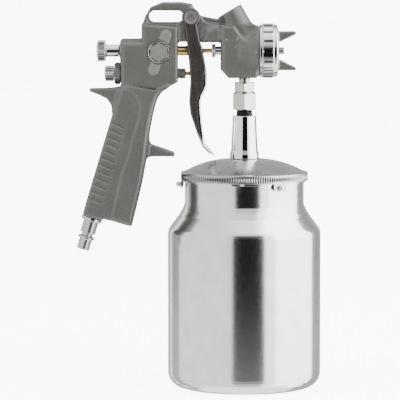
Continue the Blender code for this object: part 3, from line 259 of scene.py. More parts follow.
@dataclass(frozen=True)
class CastPaint(Finish):
    """Satin paint over a casting: a fine orange peel, faint lighter specks, and a painted highlight on the
    edges and the pad.

    peel is the orange peel in features per metre, and edge is the lighter colour of the specks and of the
    painted highlight.
    """

    edge: str = "#86857f"
    peel: float = 1300.0

    def material(self) -> bpy.types.Material:
        """Makes the painted casting's material once, and finds it again after that.

        The base colour is a broad mottle of two greys with faint specks. The piece's "pale" attribute
        and the pointiness of the surface, in a narrow band above flat, mix in the lighter edge colour
        as a painted highlight on the pad and on convex edges.
        A noise gives the orange peel.

        Returns:
            The material.
        """
        found = bpy.data.materials.get(self.name)
        if found:
            return found
        tree = Tree(self.name)
        place = tree.add("TexCoord").outputs["Object"]
        mottle = tree.noise(place, (60.0, 60.0, 60.0), 4.0)
        peel = tree.noise(place, (self.peel, self.peel, self.peel), 3.0)
        specks = tree.noise(place, (3200.0, 3200.0, 3200.0), 1.0)
        base = tree.add("Mix", {
            0: tree.span(mottle, 0.0, 1.0), 6: linear(self.colour), 7: linear(self.shade),
        }, data_type="RGBA")
        speckled = tree.add("Mix", {
            0: tree.span(specks, 0.0, 0.16), 6: base.outputs[2], 7: linear(self.edge),
        }, data_type="RGBA")
        # Painted highlight: the "pale" layer lightens the pad behind the badge.
        pale = tree.add("Attribute", attribute_name="pale").outputs["Fac"]
        lighter = tree.add("Math", {0: pale, 1: 0.38}, operation="MULTIPLY")
        padded = tree.add("Mix", {
            0: lighter.outputs[0], 6: speckled.outputs[2], 7: linear(self.edge),
        }, data_type="RGBA")
        # Painted highlight: convex edges, found by pointiness, get the lighter colour.
        point = tree.add("NewGeometry").outputs["Pointiness"]
        edge_highlight = tree.add("MapRange", {0: point, 1: 0.53, 2: 0.62, 3: 0.0, 4: 0.45})
        colour = tree.add("Mix", {
            0: edge_highlight.outputs[0], 6: padded.outputs[2], 7: linear(self.edge),
        }, data_type="RGBA")
        normal = tree.add("Bump", {"Height": peel, "Distance": 0.0002, "Strength": self.bump})
        shader = tree.add("BsdfPrincipled", {
            "Base Color": colour.outputs[2], "Metallic": self.metal, "Normal": normal.outputs[0],
            "Roughness": tree.span(peel, self.rough - self.rough_spread, self.rough + self.rough_spread),
            "Coat Weight": self.coat, "Coat Roughness": 0.3,
        })
        tree.add("OutputMaterial", {0: shader.outputs[0]})
        return tree.material


# Tool marks that run round a turned piece, about 0.2 mm apart along its axis.
ROUND_Z = (40.0, 40.0, 5200.0)
ROUND_X = (5200.0, 40.0, 40.0)
# A near-black colour that paints shade into the bottoms of grooves.
GROOVE_SHADE = "#24211f"
# A pale colour painted on as a highlight.
PAINTED_HIGHLIGHT = "#e9e9e8"

# Satin grey paint sprayed on a die casting: a soft sheen with a fine orange peel.
PAINT = CastPaint("cast_paint", "#43423f", "#3b3a38", 0.4, 0.05, 0.3, bump=0.12, coat=0.2)
# Spun aluminium, polished by a belt as it turns: long soft reflections that run up the wall.
CUP_METAL = Finish(
    "spun_aluminium", "#e2e2e0", "#d6d6d3", 0.17, 0.05, lines=ROUND_Z, line_depth=0.02,
)
# Brushed aluminium: greyer than the cup, with a wide, dull highlight.
LID_METAL = Finish("brushed_lid", "#bdbbb7", "#adaba7", 0.24, 0.08, lines=ROUND_Z)
# Bright turned aluminium: almost a mirror, with fine rings from the lathe.
RING_METAL = Finish(
    "turned_ring", "#dededc", "#d2d2d0", 0.1, 0.04, lines=ROUND_X, line_depth=0.008,
)
# Chrome plate, worn by fittings that go on and off: greyer and softer than new chrome.
WORN_CHROME = Finish(
    "worn_chrome", "#bcbab5", "#aba9a4", 0.24, 0.06, lines=ROUND_Z, line_depth=0.01,
)
# Chrome plate on turned steel: a clean mirror.
CHROME = Finish("chrome", "#e9e9ea", "#dfe0e1", 0.05, 0.02, lines=ROUND_Z)
# Nickel plate: a warmer, softer mirror than chrome.
NICKEL = Finish("nickel", "#c6c4bd", "#b9b7af", 0.18, 0.05, lines=ROUND_Z, line_depth=0.01)
# Turned brass, a little dulled: pale yellow.
BRASS = Finish(
    "turned_brass", "#e0c486", "#d2b271", 0.28, 0.07, lines=ROUND_X, line_depth=0.012,
)
# Turned bronze, a little dulled: pinkish brown.
BRONZE = Finish(
    "turned_bronze", "#cfa681", "#bd9270", 0.3, 0.07, lines=ROUND_X, line_depth=0.012,
)
# Phosphated steel: a dull mid grey, hardly metallic.
PHOSPHATE = Finish(
    "phosphated", "#5a5957", "#504f4d", 0.42, 0.08, 0.35, lines=ROUND_X, line_depth=0.012,
)
# Black oxide on steel: near black with a low sheen.
BLACK = Finish(
    "black_oxide", "#2a2a2b", "#343435", 0.36, 0.08, 0.7, lines=ROUND_X, line_depth=0.012,
)
# Smoked chrome on pressed steel: brownish dark grey with a wide sheen.
DARK = Finish(
    "smoked_chrome", "#5f5b58", "#56524f", 0.4, 0.06, lines=(900.0, 60.0, 60.0), line_depth=0.012,
)
# Satin nickel on a turned cap: mid grey with a wide sheen.
SATIN = Finish("satin_dark", "#8c8a86", "#7f7d79", 0.42, 0.06, lines=ROUND_X, line_depth=0.012)
# Drawn steel, bare: grey with marks that run round it.
STEEL = Finish("drawn_steel", "#a9abad", "#989a9c", 0.28, 0.07, lines=ROUND_Z, line_depth=0.012)
# Moulded nitrile rubber: dull black with a fine grain.
RUBBER = Finish("rubber", "#19191a", "#222223", 0.7, 0.08, 0.0, bump=0.12)
# Turned PTFE: waxy white.
PTFE = Finish("ptfe", "#e9e8e2", "#dedcd4", 0.5, 0.06, 0.0, bump=0.05)


def shown(
    name: str, points: np.ndarray, faces: list, finish: Finish, body: str,
    nodes: Sequence[str], sharp: float = 35.0,
) -> bpy.types.Object:
    """Makes a finished piece from points in millimetres, and says what it rides on and stands for.

    The signed volume, the sum of each face fan's triple products, is made positive by turning every
    face round where it isn't.

    Args:
        name: The piece's name.
        points: An array of points in millimetres.
        faces: The faces, as lists or an array of point numbers.
        finish: What the piece is made of.
        body: The CAD body that it rides on.
        nodes: The CAD nodes that it stands for.
        sharp: The angle in degrees above which an edge is drawn sharp.

    Returns:
        The piece.
    """
    first = np.array([f[0] for f in faces])
    second = np.array([f[1] for f in faces])
    third = np.array([f[2] for f in faces])
    volume = np.einsum("ij,ij->", points[first], np.cross(points[second], points[third]))
    quads = np.array([f for f in faces if len(f) == 4])
    if len(quads):
        volume += np.einsum(
            "ij,ij->", points[quads[:, 0]], np.cross(points[quads[:, 2]], points[quads[:, 3]])
        )
    if volume < 0:
        faces = [tuple(f)[::-1] for f in faces]
    mesh = bpy.data.meshes.new(name)
    mesh.from_pydata((points * MM).tolist(), [], [tuple(map(int, f)) for f in faces])
    mesh.validate()
    mesh.shade_smooth()
    mesh.set_sharp_from_angle(angle=math.radians(sharp))
    mesh.materials.append(finish.material())
    piece = bpy.data.objects.new(name, mesh)
    bpy.context.scene.collection.objects.link(piece)
    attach(piece, body)
    if nodes:
        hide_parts(*nodes)
    LOG.info("%s: %d faces, stands for %s", name, len(faces), ", ".join(nodes) or "no CAD node")
    return piece


def write_layer(piece: bpy.types.Object, name: str, values: np.ndarray) -> None:
    """Gives each point of a piece a value that its material reads.

    Args:
        piece: The piece.
        name: The value's name.
        values: One value for each point, from 0 to 1.
    """
    layer = piece.data.attributes.new(name, "FLOAT", "POINT")
    layer.data.foreach_set("value", values.astype(np.float32))


def dress(node: str, finish: Finish) -> None:
    """Gives a CAD node that is kept as it is its finish.

    Args:
        node: The CAD node's name.
        finish: What it is made of.
    """
    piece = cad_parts[node]
    piece.data.materials.clear()
    piece.data.materials.append(finish.material())
    LOG.info("%s: kept from the CAD, in %s", node, finish.name)


def softened(
    points: Points, fillets: Sequence[float] | float, steps: int = 4, closed: bool = True,
) -> np.ndarray:
    """Rounds a polyline's corners.

    At a corner of half angle a, the arc of radius r starts r / tan(a) back along each side, never
    over 0.45 of the side, and its points lie on the quadratic curve through both ends that the
    corner pulls.

    Args:
        points: The corners.
        fillets: The radius at each corner, or one for all.
        steps: Points on each arc, less one.
        closed: Whether the last corner joins the first.

    Returns:
        The points of the rounded line.
    """
    corners = np.array(points, float)
    count = len(corners)
    radii = [fillets] * count if isinstance(fillets, (int, float)) else list(fillets)
    result = []
    for i, radius in enumerate(radii):
        here = corners[i]
        if radius <= 0 or (not closed and i in (0, count - 1)):
            result.append(here)
            continue
        before = corners[i - 1] - here
        after = corners[(i + 1) % count] - here
        long_before, long_after = np.linalg.norm(before), np.linalg.norm(after)
        cosine = float(np.clip(before @ after / (long_before * long_after), -1, 1))
        half = math.acos(cosine) / 2
        back = min(radius / max(math.tan(half), 1e-6), 0.45 * long_before, 0.45 * long_after)
        start = here + before / long_before * back
        end = here + after / long_after * back
        share = np.linspace(0, 1, steps + 1)[:, None]
        pull = 2 * share * (1 - share)
        result.extend((1 - share) ** 2 * start + pull * here + share ** 2 * end)
    return np.array(result)


def turned(
    name: str, profile: np.ndarray, finish: Finish, body: str, nodes: Sequence[str],
    origin: tuple[float, float, float] = (0.0, 0.0, 0.0), axis: Axis = Axis.UP, steps: int = 96,
    shape: Radius | None = None, sharp: float = 35.0, deepest: float = 0.0,
) -> bpy.types.Object:
    """Turns a profile of (radius, height) about an axis.

    A point is origin + r cos(t) u + r sin(t) v + h w, where u, v and w are the axis's directions. A
    profile that starts and ends on the axis is open, with one point at each pole; any other is a
    closed loop. Where deepest is above zero, the "deep" attribute holds how far the shape lowered
    the radius, as a share of deepest.

    Args:
        name: The piece's name.
        profile: Rows of radius and height in millimetres.
        finish: What the piece is made of.
        body: The CAD body that it rides on.
        nodes: The CAD nodes that it stands for.
        origin: The axis's foot in millimetres.
        axis: Which way the axis points.
        steps: Points round the axis.
        shape: Changes the radius, from arrays of angle, height and radius.
        sharp: The angle in degrees above which an edge is drawn sharp.
        deepest: The cut at which a groove is darkest, or zero for no darkening.

    Returns:
        The piece.
    """
    radius, height = np.array(profile, float).T
    rows = len(radius)
    angle = np.linspace(0, 2 * math.pi, steps, endpoint=False)
    turn, rise = np.meshgrid(angle, height)
    reach = np.repeat(radius[:, None], steps, axis=1)
    if shape is not None:
        reach = np.where(reach > 1e-6, shape(turn, rise, reach), 0.0)
    u, v, w = np.array(axis.value, float)
    around = np.cos(turn)[..., None] * u + np.sin(turn)[..., None] * v
    grid = np.array(origin) + reach[..., None] * around + rise[..., None] * w
    number = np.arange(rows * steps).reshape(rows, steps)
    poled = radius[0] < 1e-6 and radius[-1] < 1e-6
    for row in (0, rows - 1):
        if radius[row] < 1e-6:
            number[row] = number[row, 0]
    following = np.roll(number, -1, axis=1)
    (low, high), (low_next, high_next) = [
        (label[:-1], label[1:]) if poled else (label, np.roll(label, -1, axis=0))
        for label in (number, following)
    ]
    quads = np.stack([low, low_next, high_next, high], axis=-1).reshape(-1, 4)
    faces = [tuple(dict.fromkeys(quad)) for quad in quads.tolist()]
    piece = compact(name, grid.reshape(-1, 3), faces, finish, body, nodes, sharp)
    # The "deep" layer is how far the shape cut the radius; the material paints shade there.
    if deepest > 0:
        cut = np.clip((radius[:, None] - reach) / deepest, 0, 1).reshape(-1)
        write_layer(piece, "deep", cut[np.unique(number)])
    return piece


def compact(
    name: str, points: np.ndarray, faces: list, finish: Finish, body: str,
    nodes: Sequence[str], sharp: float,
) -> bpy.types.Object:
    """Drops the points that no face uses and the faces that shrank to a line, then shows the piece.

    Args:
        name: The piece's name.
        points: An array of points in millimetres.
        faces: The faces, as lists of point numbers.
        finish: What the piece is made of.
        body: The CAD body that it rides on.
        nodes: The CAD nodes that it stands for.
        sharp: The angle in degrees above which an edge is drawn sharp.

    Returns:
        The piece.
    """
    used = np.unique(np.concatenate([np.array(f) for f in faces]))
    renumber = np.zeros(len(points), int)
    renumber[used] = np.arange(len(used))
    faces = [tuple(renumber[list(f)]) for f in faces if len(f) > 2]
    return shown(name, points[used], faces, finish, body, nodes, sharp)


def hex_limit(flats: float, start: float) -> Radius:
    """Limits a turned radius to a hexagon's flats.

    The flat's distance at an angle t is half the flats over cos(t'), where t' is the angle from the
    nearest flat's middle. The radius is the smaller of that and the turned one.

    Args:
        flats: The width across flats.
        start: The first corner's angle in degrees.

    Returns:
        The radius function.
    """
    def limit(turn: np.ndarray, rise: np.ndarray, reach: np.ndarray) -> np.ndarray:
        """Gives the smaller of the turned radius and the flat's distance.

        Args:
            turn: The angles.
            rise: The heights. Not used.
            reach: The radii before.

        Returns:
            The radii after.
        """
        beside = (turn - math.radians(start)) % (math.pi / 3) - math.pi / 6
        return np.minimum(reach, flats / 2 / np.cos(beside))
    return limit


def knurl(count: int, depth: float, low: float, high: float, over: float) -> Radius:
    """Cuts a straight knurl into the outermost band of a turned piece.

    The radius falls by depth times the square of cos(n t / 2), where n is how many grooves go round.

    Args:
        count: How many grooves go round.
        depth: How deep they are.
        low: Where the band starts.
        high: Where it ends.
        over: The radius above which the surface is knurled.

    Returns:
        The radius function.
    """
    def cut(turn: np.ndarray, rise: np.ndarray, reach: np.ndarray) -> np.ndarray:
        """Gives the knurled radius.

        Args:
            turn: The angles.
            rise: The heights.
            reach: The radii before.

        Returns:
            The radii after.
        """
        wave = np.cos(count * turn / 2) ** 2
        banded = (rise > low) & (rise < high) & (reach > over)
        return np.where(banded, reach - depth * wave, reach)
    return cut


def thread(pitch: float, depth: float, low: float, high: float, over: float) -> Radius:
    """Cuts a screw thread: the radius falls by depth times a triangle wave that climbs as it turns.

    Args:
        pitch: The thread's pitch.
        depth: Its depth.
        low: Where it starts.
        high: Where it ends.
        over: The radius above which the surface is threaded.

    Returns:
        The radius function.
    """
    def cut(turn: np.ndarray, rise: np.ndarray, reach: np.ndarray) -> np.ndarray:
        """Gives the threaded radius.

        Args:
            turn: The angles.
            rise: The heights.
            reach: The radii before.

        Returns:
            The radii after.
        """
        phase = (rise / pitch - turn / (2 * math.pi)) % 1.0
        banded = (rise > low) & (rise < high) & (reach > over)
        return np.where(banded, reach - depth * np.abs(2 * phase - 1), reach)
    return cut


def refined(profile: np.ndarray, longest: float) -> np.ndarray:
    """Divides a closed profile's long sides into equal steps, none over the longest.

    Args:
        profile: Rows of radius and height.
        longest: The longest step.

    Returns:
        The divided profile.
    """
    result = []
    following = np.roll(profile, -1, axis=0)
    for start, end in zip(profile, following):
        count = max(1, math.ceil(np.linalg.norm(end - start) / longest))
        share = np.arange(count)[:, None] / count
        result.append(start + (end - start) * share)
    return np.concatenate(result)


def coil(
    name: str, radius: float, wire: float, start: float, end: float, turns: float, origin: tuple,
    finish: Finish, body: str, node: str,
) -> bpy.types.Object:
    """Winds a compression spring along X as a tube on a helix whose end turns lie close together.

    The helix's height is the mean of the share along it and of that share's smooth step, so that
    the end turns are flatter. The tube has eight sides.

    Args:
        name: The piece's name.
        radius: The helix's radius.
        wire: The wire's radius.
        start: One end along X.
        end: The other end.
        turns: How many turns it has.
        origin: The axis's foot.
        finish: What it is made of.
        body: The CAD body that it rides on.
        node: The CAD node that it stands for.

    Returns:
        The spring.
    """
    steps = int(turns * 24)
    sides = 8
    share = np.linspace(0, 1, steps)
    eased = 0.5 * share + 0.5 * share * share * (3 - 2 * share)
    along = start + wire + (end - start - 2 * wire) * eased
    angle = share * turns * 2 * math.pi
    centre = np.stack([along, radius * np.cos(angle), radius * np.sin(angle)], axis=1)
    out = np.stack([np.zeros(steps), np.cos(angle), np.sin(angle)], axis=1)
    side = np.array([1.0, 0.0, 0.0])
    around = np.linspace(0, 2 * math.pi, sides, endpoint=False)
    section = np.cos(around)[None, :, None] * out[:, None] + np.sin(around)[None, :, None] * side
    points = (np.array(origin) + centre[:, None] + wire * section).reshape(-1, 3)
    number = np.arange(steps * sides).reshape(steps, sides)
    beside = np.roll(number, -1, axis=1)
    quads = np.stack([number[:-1], beside[:-1], beside[1:], number[1:]], axis=-1)
    quads = quads.reshape(-1, 4).tolist()
    caps = [tuple(number[0]), tuple(number[-1][::-1])]
    fans = [(cap[0], cap[i], cap[i + 1]) for cap in caps for i in range(1, sides - 1)]
    return shown(name, points, quads + fans, finish, body, [node])


class Field:
    """A signed distance over a box of points, negative inside, that solids join and are cut from."""

    def __init__(self, low: Sequence[float], high: Sequence[float], step: float) -> None:
        """Starts an empty field.

        Args:
            low: The box's lowest corner in millimetres.
            high: Its highest corner.
            step: The distance between points.
        """
        self.low = np.array(low, float)
        self.step = step
        counts = np.ceil((np.array(high, float) - self.low) / step).astype(int) + 1
        x, y, z = [
            (self.low[i] + step * np.arange(counts[i], dtype=np.float32)).astype(np.float32)
            for i in range(3)
        ]
        self.x, self.y, self.z = x[:, None, None], y[None, :, None], z[None, None, :]
        self.values = np.full(counts, 50.0, np.float32)

    def join(self, solid: np.ndarray, blend: float = 1.5) -> None:
        """Joins a solid with a fillet: the lesser distance, less h squared over four blends.

        h is the blend less the difference of the two distances, and zero where that is negative.

        Args:
            solid: The solid's distance.
            blend: How wide the fillet is.
        """
        near = np.maximum(blend - np.abs(self.values - solid), 0)
        self.values = np.minimum(self.values, solid) - near * near / (4 * blend)

    def cut(self, solid: np.ndarray, blend: float = 0.6) -> None:
        """Cuts a solid away, and rounds the edge as join rounds an inner corner.

        Args:
            solid: The solid's distance.
            blend: How wide the rounding is.
        """
        near = np.maximum(blend - np.abs(self.values + solid), 0)
        self.values = np.maximum(self.values, -solid) + near * near / (4 * blend)

    def plate(
        self, outline: Points, half: float, edge: float = 1.0, middle: float = 0.0,
    ) -> np.ndarray:
        """Gives the distance to an XZ outline extruded along Y, with rounded edges.

        The outline's own distance and |y - middle| - half are both raised by the edge radius. The
        result is the larger where neither is above zero, else the length of their positive parts,
        less the radius.

        Args:
            outline: The corners, as (x, z).
            half: Half the plate's thickness.
            edge: The edges' radius.
            middle: The plate's middle along Y.

        Returns:
            The distance.
        """
        side = polygon_distance(np.array(outline, float), self.x[:, 0, :], self.z[0])
        flat = side[:, None, :].astype(np.float32) + edge
        rise = np.abs(self.y - middle) - half + edge
        outside = np.sqrt(np.maximum(flat, 0) ** 2 + np.maximum(rise, 0) ** 2)
        return outside + np.minimum(np.maximum(flat, rise), 0) - edge

    def rod(
        self, foot: Sequence[float], way: Sequence[float], low: float, high: float, radius: float,
        edge: float = 0.0, taper: float = 0.0,
    ) -> np.ndarray:
        """Gives the distance to a cylinder or a cone with rounded ends.

        Args:
            foot: A point on its axis.
            way: The axis's direction.
            low: Where it starts along the axis.
            high: Where it ends.
            radius: Its radius at the start.
            edge: The ends' edge radius.
            taper: How much the radius falls per millimetre.

        Returns:
            The distance.
        """
        way = np.array(way, float) / np.linalg.norm(way)
        dx, dy, dz = self.x - foot[0], self.y - foot[1], self.z - foot[2]
        along = dx * way[0] + dy * way[1] + dz * way[2]
        away = np.sqrt(np.maximum(dx * dx + dy * dy + dz * dz - along * along, 0))
        flat = away - radius + taper * (along - low) + edge
        rise = np.abs(along - (low + high) / 2) - (high - low) / 2 + edge
        outside = np.sqrt(np.maximum(flat, 0) ** 2 + np.maximum(rise, 0) ** 2)
        return outside + np.minimum(np.maximum(flat, rise), 0) - edge

    def surface(self) -> tuple[np.ndarray, np.ndarray]:
        """Meshes the zero of the field with one point in each cell that it crosses.

        The point is the mean of the crossings on the cell's edges, then moved twice along the
        field's slope by the distance left. Each crossed edge gives one quad between its four cells.

        Returns:
            The points and the quads.
        """
        values = self.values
        shape = np.array(values.shape) - 1
        total = np.zeros((int(np.prod(shape)), 3))
        count = np.zeros(int(np.prod(shape)))
        sides = []
        for axis in range(3):
            first = np.take(values, range(values.shape[axis] - 1), axis)
            second = np.take(values, range(1, values.shape[axis]), axis)
            where = np.argwhere((first < 0) != (second < 0))
            one = first[tuple(where.T)]
            two = second[tuple(where.T)]
            crossing = where.astype(float)
            crossing[:, axis] += one / (one - two)
            u, v = (axis + 1) % 3, (axis + 2) % 3
            ring = []
            for du, dv in ((-1, -1), (0, -1), (0, 0), (-1, 0)):
                cell = where.copy()
                cell[:, u] += du
                cell[:, v] += dv
                flat = np.ravel_multi_index(cell.T, shape)
                ring.append(flat)
                for k in range(3):
                    total[:, k] += np.bincount(flat, crossing[:, k], len(total))
                count += np.bincount(flat, minlength=len(total))
            quad = np.stack(ring, axis=1)
            sides.append(np.where((one < 0)[:, None], quad, quad[:, ::-1]))
        used = np.flatnonzero(count)
        renumber = np.zeros(len(total), int)
        renumber[used] = np.arange(len(used))
        points = total[used] / count[used, None]
        slopes = np.gradient(values)
        for _ in range(2):
            distance = sampled(values, points) / self.step
            slope = np.stack([sampled(s, points) for s in slopes], axis=1) / self.step
            size = np.maximum(np.sum(slope * slope, axis=1), 0.2)
            points = points - np.clip(distance / size, -0.5, 0.5)[:, None] * slope
        return self.low + points * self.step, renumber[np.concatenate(sides)]


def sampled(values: np.ndarray, points: np.ndarray) -> np.ndarray:
    """Reads a grid between its points, by the product of linear weights along the three axes.

    Args:
        values: The grid.
        points: Where to read, in grid steps.

    Returns:
        The values there.
    """
    base = np.clip(np.floor(points).astype(int), 0, np.array(values.shape) - 2)
    share = points - base
    result = np.zeros(len(points))
    for corner in np.ndindex(2, 2, 2):
        weight = np.prod(np.where(np.array(corner) == 1, share, 1 - share), axis=1)
        result += weight * values[tuple((base + corner).T)]
    return result


def polygon_distance(corners: np.ndarray, x: np.ndarray, z: np.ndarray) -> np.ndarray:
    """Gives the signed distance to a polygon, negative inside.

    It is the least distance to a side, and its sign comes from how many sides cross the point's
    level to its right.

    Args:
        corners: The polygon's corners.
        x: The points' first coordinate, as a column.
        z: The points' second coordinate, as a row.

    Returns:
        The distances.
    """
    best = np.full(np.broadcast(x, z).shape, 1e9)
    inside = np.zeros(best.shape, bool)
    for (ax, az), (bx, bz) in zip(corners, np.roll(corners, -1, axis=0)):
        dx, dz = bx - ax, bz - az
        share = np.clip(((x - ax) * dx + (z - az) * dz) / max(dx * dx + dz * dz, 1e-12), 0, 1)
        best = np.minimum(best, (x - ax - share * dx) ** 2 + (z - az - share * dz) ** 2)
        if dz:
            crosses = ((az > z) != (bz > z)) & (x < dx * (z - az) / dz + ax)
            inside ^= crosses
    return np.where(inside, -1.0, 1.0) * np.sqrt(best)


def on_needle(points: Points) -> list[tuple[float, float]]:
    """Turns heights from the needle's axis into heights from the floor.

    Args:
        points: Points of x and height from the needle's axis.

    Returns:
        The same points with heights from the floor.
    """
    return [(x, NEEDLE_Z + rise) for x, rise in points]


def on_grip(points: Points) -> list[tuple[float, float]]:
    """Turns places along and across the grip into the side view, by a turn of the grip's lean.

    Args:
        points: Points of distance down the grip and across it.

    Returns:
        The points as x and height.
    """
    return [
        (
            -76 - along * math.sin(LEAN) + across * math.cos(LEAN),
            NEEDLE_Z - 15.8 - along * math.cos(LEAN) - across * math.sin(LEAN),
        )
        for along, across in points
    ]


def smoothed(points: Points, rounds: int = 2) -> list[tuple[float, float]]:
    """Rounds an outline by cutting each corner at a quarter and three quarters of every side.

    Args:
        points: The corners.
        rounds: How many times the corners are cut.

    Returns:
        The rounded outline.
    """
    line = np.array(points, float)
    for _ in range(rounds):
        after = np.roll(line, -1, axis=0)
        line = np.stack([0.75 * line + 0.25 * after, 0.25 * line + 0.75 * after], axis=1).reshape(-1, 2)
    return [tuple(p) for p in line]


@dataclass
class CastBody:
    """The cast body: the grip, the rear block, the hook, the arm and the head, with their bores.

    A size called half is half a part's thickness across the gun.
    """

    step: float = 0.62
    quick_step: float = 1.1
    grip_half: float = 12.7
    block_half: float = 11.0
    hook_half: float = 5.0
    arm_half: float = 7.0
    head_half: float = 12.5
    grooves: int = 12
    groove_pitch: float = 4.98
    groove_depth: float = 0.9
    groove_start: float = 38.0
    pad_half_width: float = 3.3
    pin_x: float = -37.3
    pin_up: float = 23.3
    badge_x: float = -59.6
    badge_down: float = 0.7
    slot_x: float = -54.5
    slot_up: float = 24.0
    slot_half: float = 8.0
    slot_radius: float = 3.9
    slot_rim: float = 2.3
    boss_radius: float = 9.25
    boss_lean: float = 30.4
    neck_radius: float = 16.4

    def build(self) -> None:
        """Builds the casting and its badge."""
        step = self.step
        field = Field((-116.5, -18.7, 107.5), (18.2, 18.7, 272.5), step)
        self.join_solids(field)
        self.shape_sides(field)
        self.cut_grooves(field)
        self.cut_bores(field)
        points, quads = field.surface()
        faces = quads.tolist()
        piece = shown("body_casting", points, faces, PAINT, "gun", ["gun_body"], 50.0)
        # The "pale" layer marks the pad behind the badge for a painted highlight.
        away = polygon_distance(np.array(self.pad_outline()), points[:, 0], points[:, 2])
        on_side = np.abs(points[:, 1]) > self.block_half - 1.0
        write_layer(piece, "pale", np.clip(0.5 - away / 0.8, 0, 1) * on_side)
        self.badge()

    def pad_outline(self) -> list[tuple[float, float]]:
        """Gives the outline of the oblong pad behind the badge, with half-round ends.

        Returns:
            The outline.
        """
        angle = np.radians(np.linspace(0, 180, 9))
        top, foot = np.array((-54.6, NEEDLE_Z + 11.2)), np.array((-63.4, NEEDLE_Z - 13.4))
        along = (top - foot) / np.linalg.norm(top - foot)
        across = np.array((along[1], -along[0]))
        arc = self.pad_half_width * (
            np.cos(angle)[:, None] * across + np.sin(angle)[:, None] * along
        )
        return [tuple(point) for point in np.concatenate([top + arc, foot - arc])]

    def join_solids(self, field: Field) -> None:
        """Joins the casting's solids with fillets.

        Args:
            field: The casting's field.
        """
        grip = smoothed(on_grip([
            (-2, -7.3), (60, -7.3), (103.5, -7.3), (105, -6.5), (105, 6.2), (103.2, 9.2),
            (103.2, 27.6), (102, 28.5), (63, 26.1), (39.9, 21.8), (20, 19.7), (8.4, 20.1),
            (2, 25.7), (-2, 25.7),
        ]), 1)
        field.join(field.plate(grip, self.grip_half, 4.2))
        above = [
            (-130.0, 213.0), (-85.4, 212.4), (-62.3, 208.4), (-47.3, 215.6), (-30.0, 224.0),
            (-30.0, 272.0), (-130.0, 272.0),
        ]
        field.cut(field.plate(above, 20.0, 0.1), 1.0)
        block = on_needle([
            (-86, 5.9), (-86, -24.6), (-57.3, -27.4), (-46.3, -21.6), (-46.3, 16.9), (-71.3, 18.9),
            (-71.3, 5.9),
        ])
        field.join(field.plate(block, self.block_half, 2.4), 0.7)
        boss = field.rod((-86, 0, NEEDLE_Z), (1, 0, 0), 0.0, 14.0, 8.6, 1.2)
        field.join(boss, 3.0)
        hook = on_needle([
            (-71.3, 8.0), (-71.3, 20.4), (-63.5, 33.9), (-37.3, 33.9), (-34.2, 28.5), (-30.9, 26.0),
            (-30.9, 8.2), (-50.3, 8.2),
        ])
        field.join(field.plate(smoothed(hook, 1), self.hook_half, 1.6), 2.0)
        arm = on_needle([
            (-52.0, 6.2), (-10.0, 6.2), (-10.0, 21.0), (-18.6, 21.9), (-30.9, 24.6), (-38.0, 30.0),
            (-44.0, 22.0), (-52.0, 16.0),
        ])
        field.join(field.plate(arm, self.arm_half, 1.8), 2.0)
        head = on_needle([
            (-16.7, 18.4), (-16.7, -12.85), (-11.3, -18.85), (8, -18.85), (10, -17.05), (10, 16.45),
            (6.5, 18.65),
        ])
        field.join(field.plate(head, self.head_half, 3.2), 1.5)
        flush = on_needle([(-29.0, 7.0), (-12.0, 7.0), (-12.0, 18.5), (-20.0, 17.0), (-27.0, 15.0)])
        field.join(field.plate(flush, self.head_half - 2.6, 3.0), 3.0)
        shoulder = [
            (-30.0, 262.0), (-17.5, 254.2), (-7.4, 252.6), (-0.7, 242.4), (2.4, 241.0), (8.0, 246.0),
            (18.0, 250.0), (18.0, 275.0), (-30.0, 275.0),
        ]
        for side in (-1, 1):
            field.cut(field.plate(shoulder, 6.0, 0.4, side * 14.6), 0.8)
        field.join(field.rod((0, 0, NEEDLE_Z), (1, 0, 0), -3.0, 10.3, 13.0, 1.0, -0.29), 3.5)
        field.join(field.rod((0, 0, NEEDLE_Z), (1, 0, 0), 8.5, 16.0, self.neck_radius, 0.4), 0.5)
        lean = math.radians(self.boss_lean)
        up = (-math.sin(lean), 0, math.cos(lean))
        field.join(
            field.rod((-10.6, 0, NEEDLE_Z + 27.8), up, -26.0, 0.0, self.boss_radius, 0.9), 2.0
        )
        thumb = on_needle([
            (-80.0, -21.6), (-85.4, -25.0), (-96.0, -26.0), (-107.2, -26.2), (-108.3, -27.0),
            (-107.0, -28.4), (-101.5, -30.5), (-96, -33.3), (-92.9, -37.7), (-91.9, -42.1),
            (-80, -42.1),
        ])
        field.join(field.plate(thumb, 8.5, 1.6), 3.0)
        finger = on_grip([
            (54.3, 22.7), (51.9, 28.1), (47.6, 42.2), (46.3, 43), (44.9, 41.2), (44.2, 24.4),
            (41.3, 20.7), (48, 16),
        ])
        field.join(field.plate(finger, 7.3, 1.2), 3.0)

    def shape_sides(self, field: Field) -> None:
        """Shapes the creases, the recess under the ridge and the pad on both sides.

        Each side's grip hollow is a shallow plate cut from the side, whose edge is the crease.

        Args:
            field: The casting's field.
        """
        crease = [
            (-85.0, 209.8), (-79.2, 207.7), (-75.4, 204.6), (-72.9, 200.2), (-72.2, 195.9),
            (-73.5, 189.7), (-74.7, 185.5), (-77.9, 174.4), (-81.0, 161.9), (-83.2, 155.7),
            (-86.0, 148.4), (-89.2, 133.8), (-92.3, 119.4), (-93.0, 112.0), (-125.0, 112.0),
            (-125.0, 209.8),
        ]
        ridge = on_needle([
            (-31.4, 25.8), (-30.5, 23.5), (-27.7, 19.6), (-20.6, 18.6), (-12.4, 18.0), (-15.2, 23.4),
            (-22.0, 27.5),
        ])
        for side in (-1, 1):
            hollow = field.plate(crease, 2.0, 0.3, side * (self.grip_half + 1.35))
            field.cut(hollow, 0.5)
            recess = field.plate(smoothed(ridge, 1), 6.0, 0.6, side * (self.arm_half + 3.0))
            field.cut(recess, 0.8)
            pad = field.plate(self.pad_outline(), 1.2, 0.5, side * (self.block_half - 0.7))
            field.join(pad, 0.4)
            rim = self.slot_outline(self.slot_rim)
            field.cut(field.plate(rim, 0.9, 0.7, side * (self.hook_half + 0.2)), 0.5)

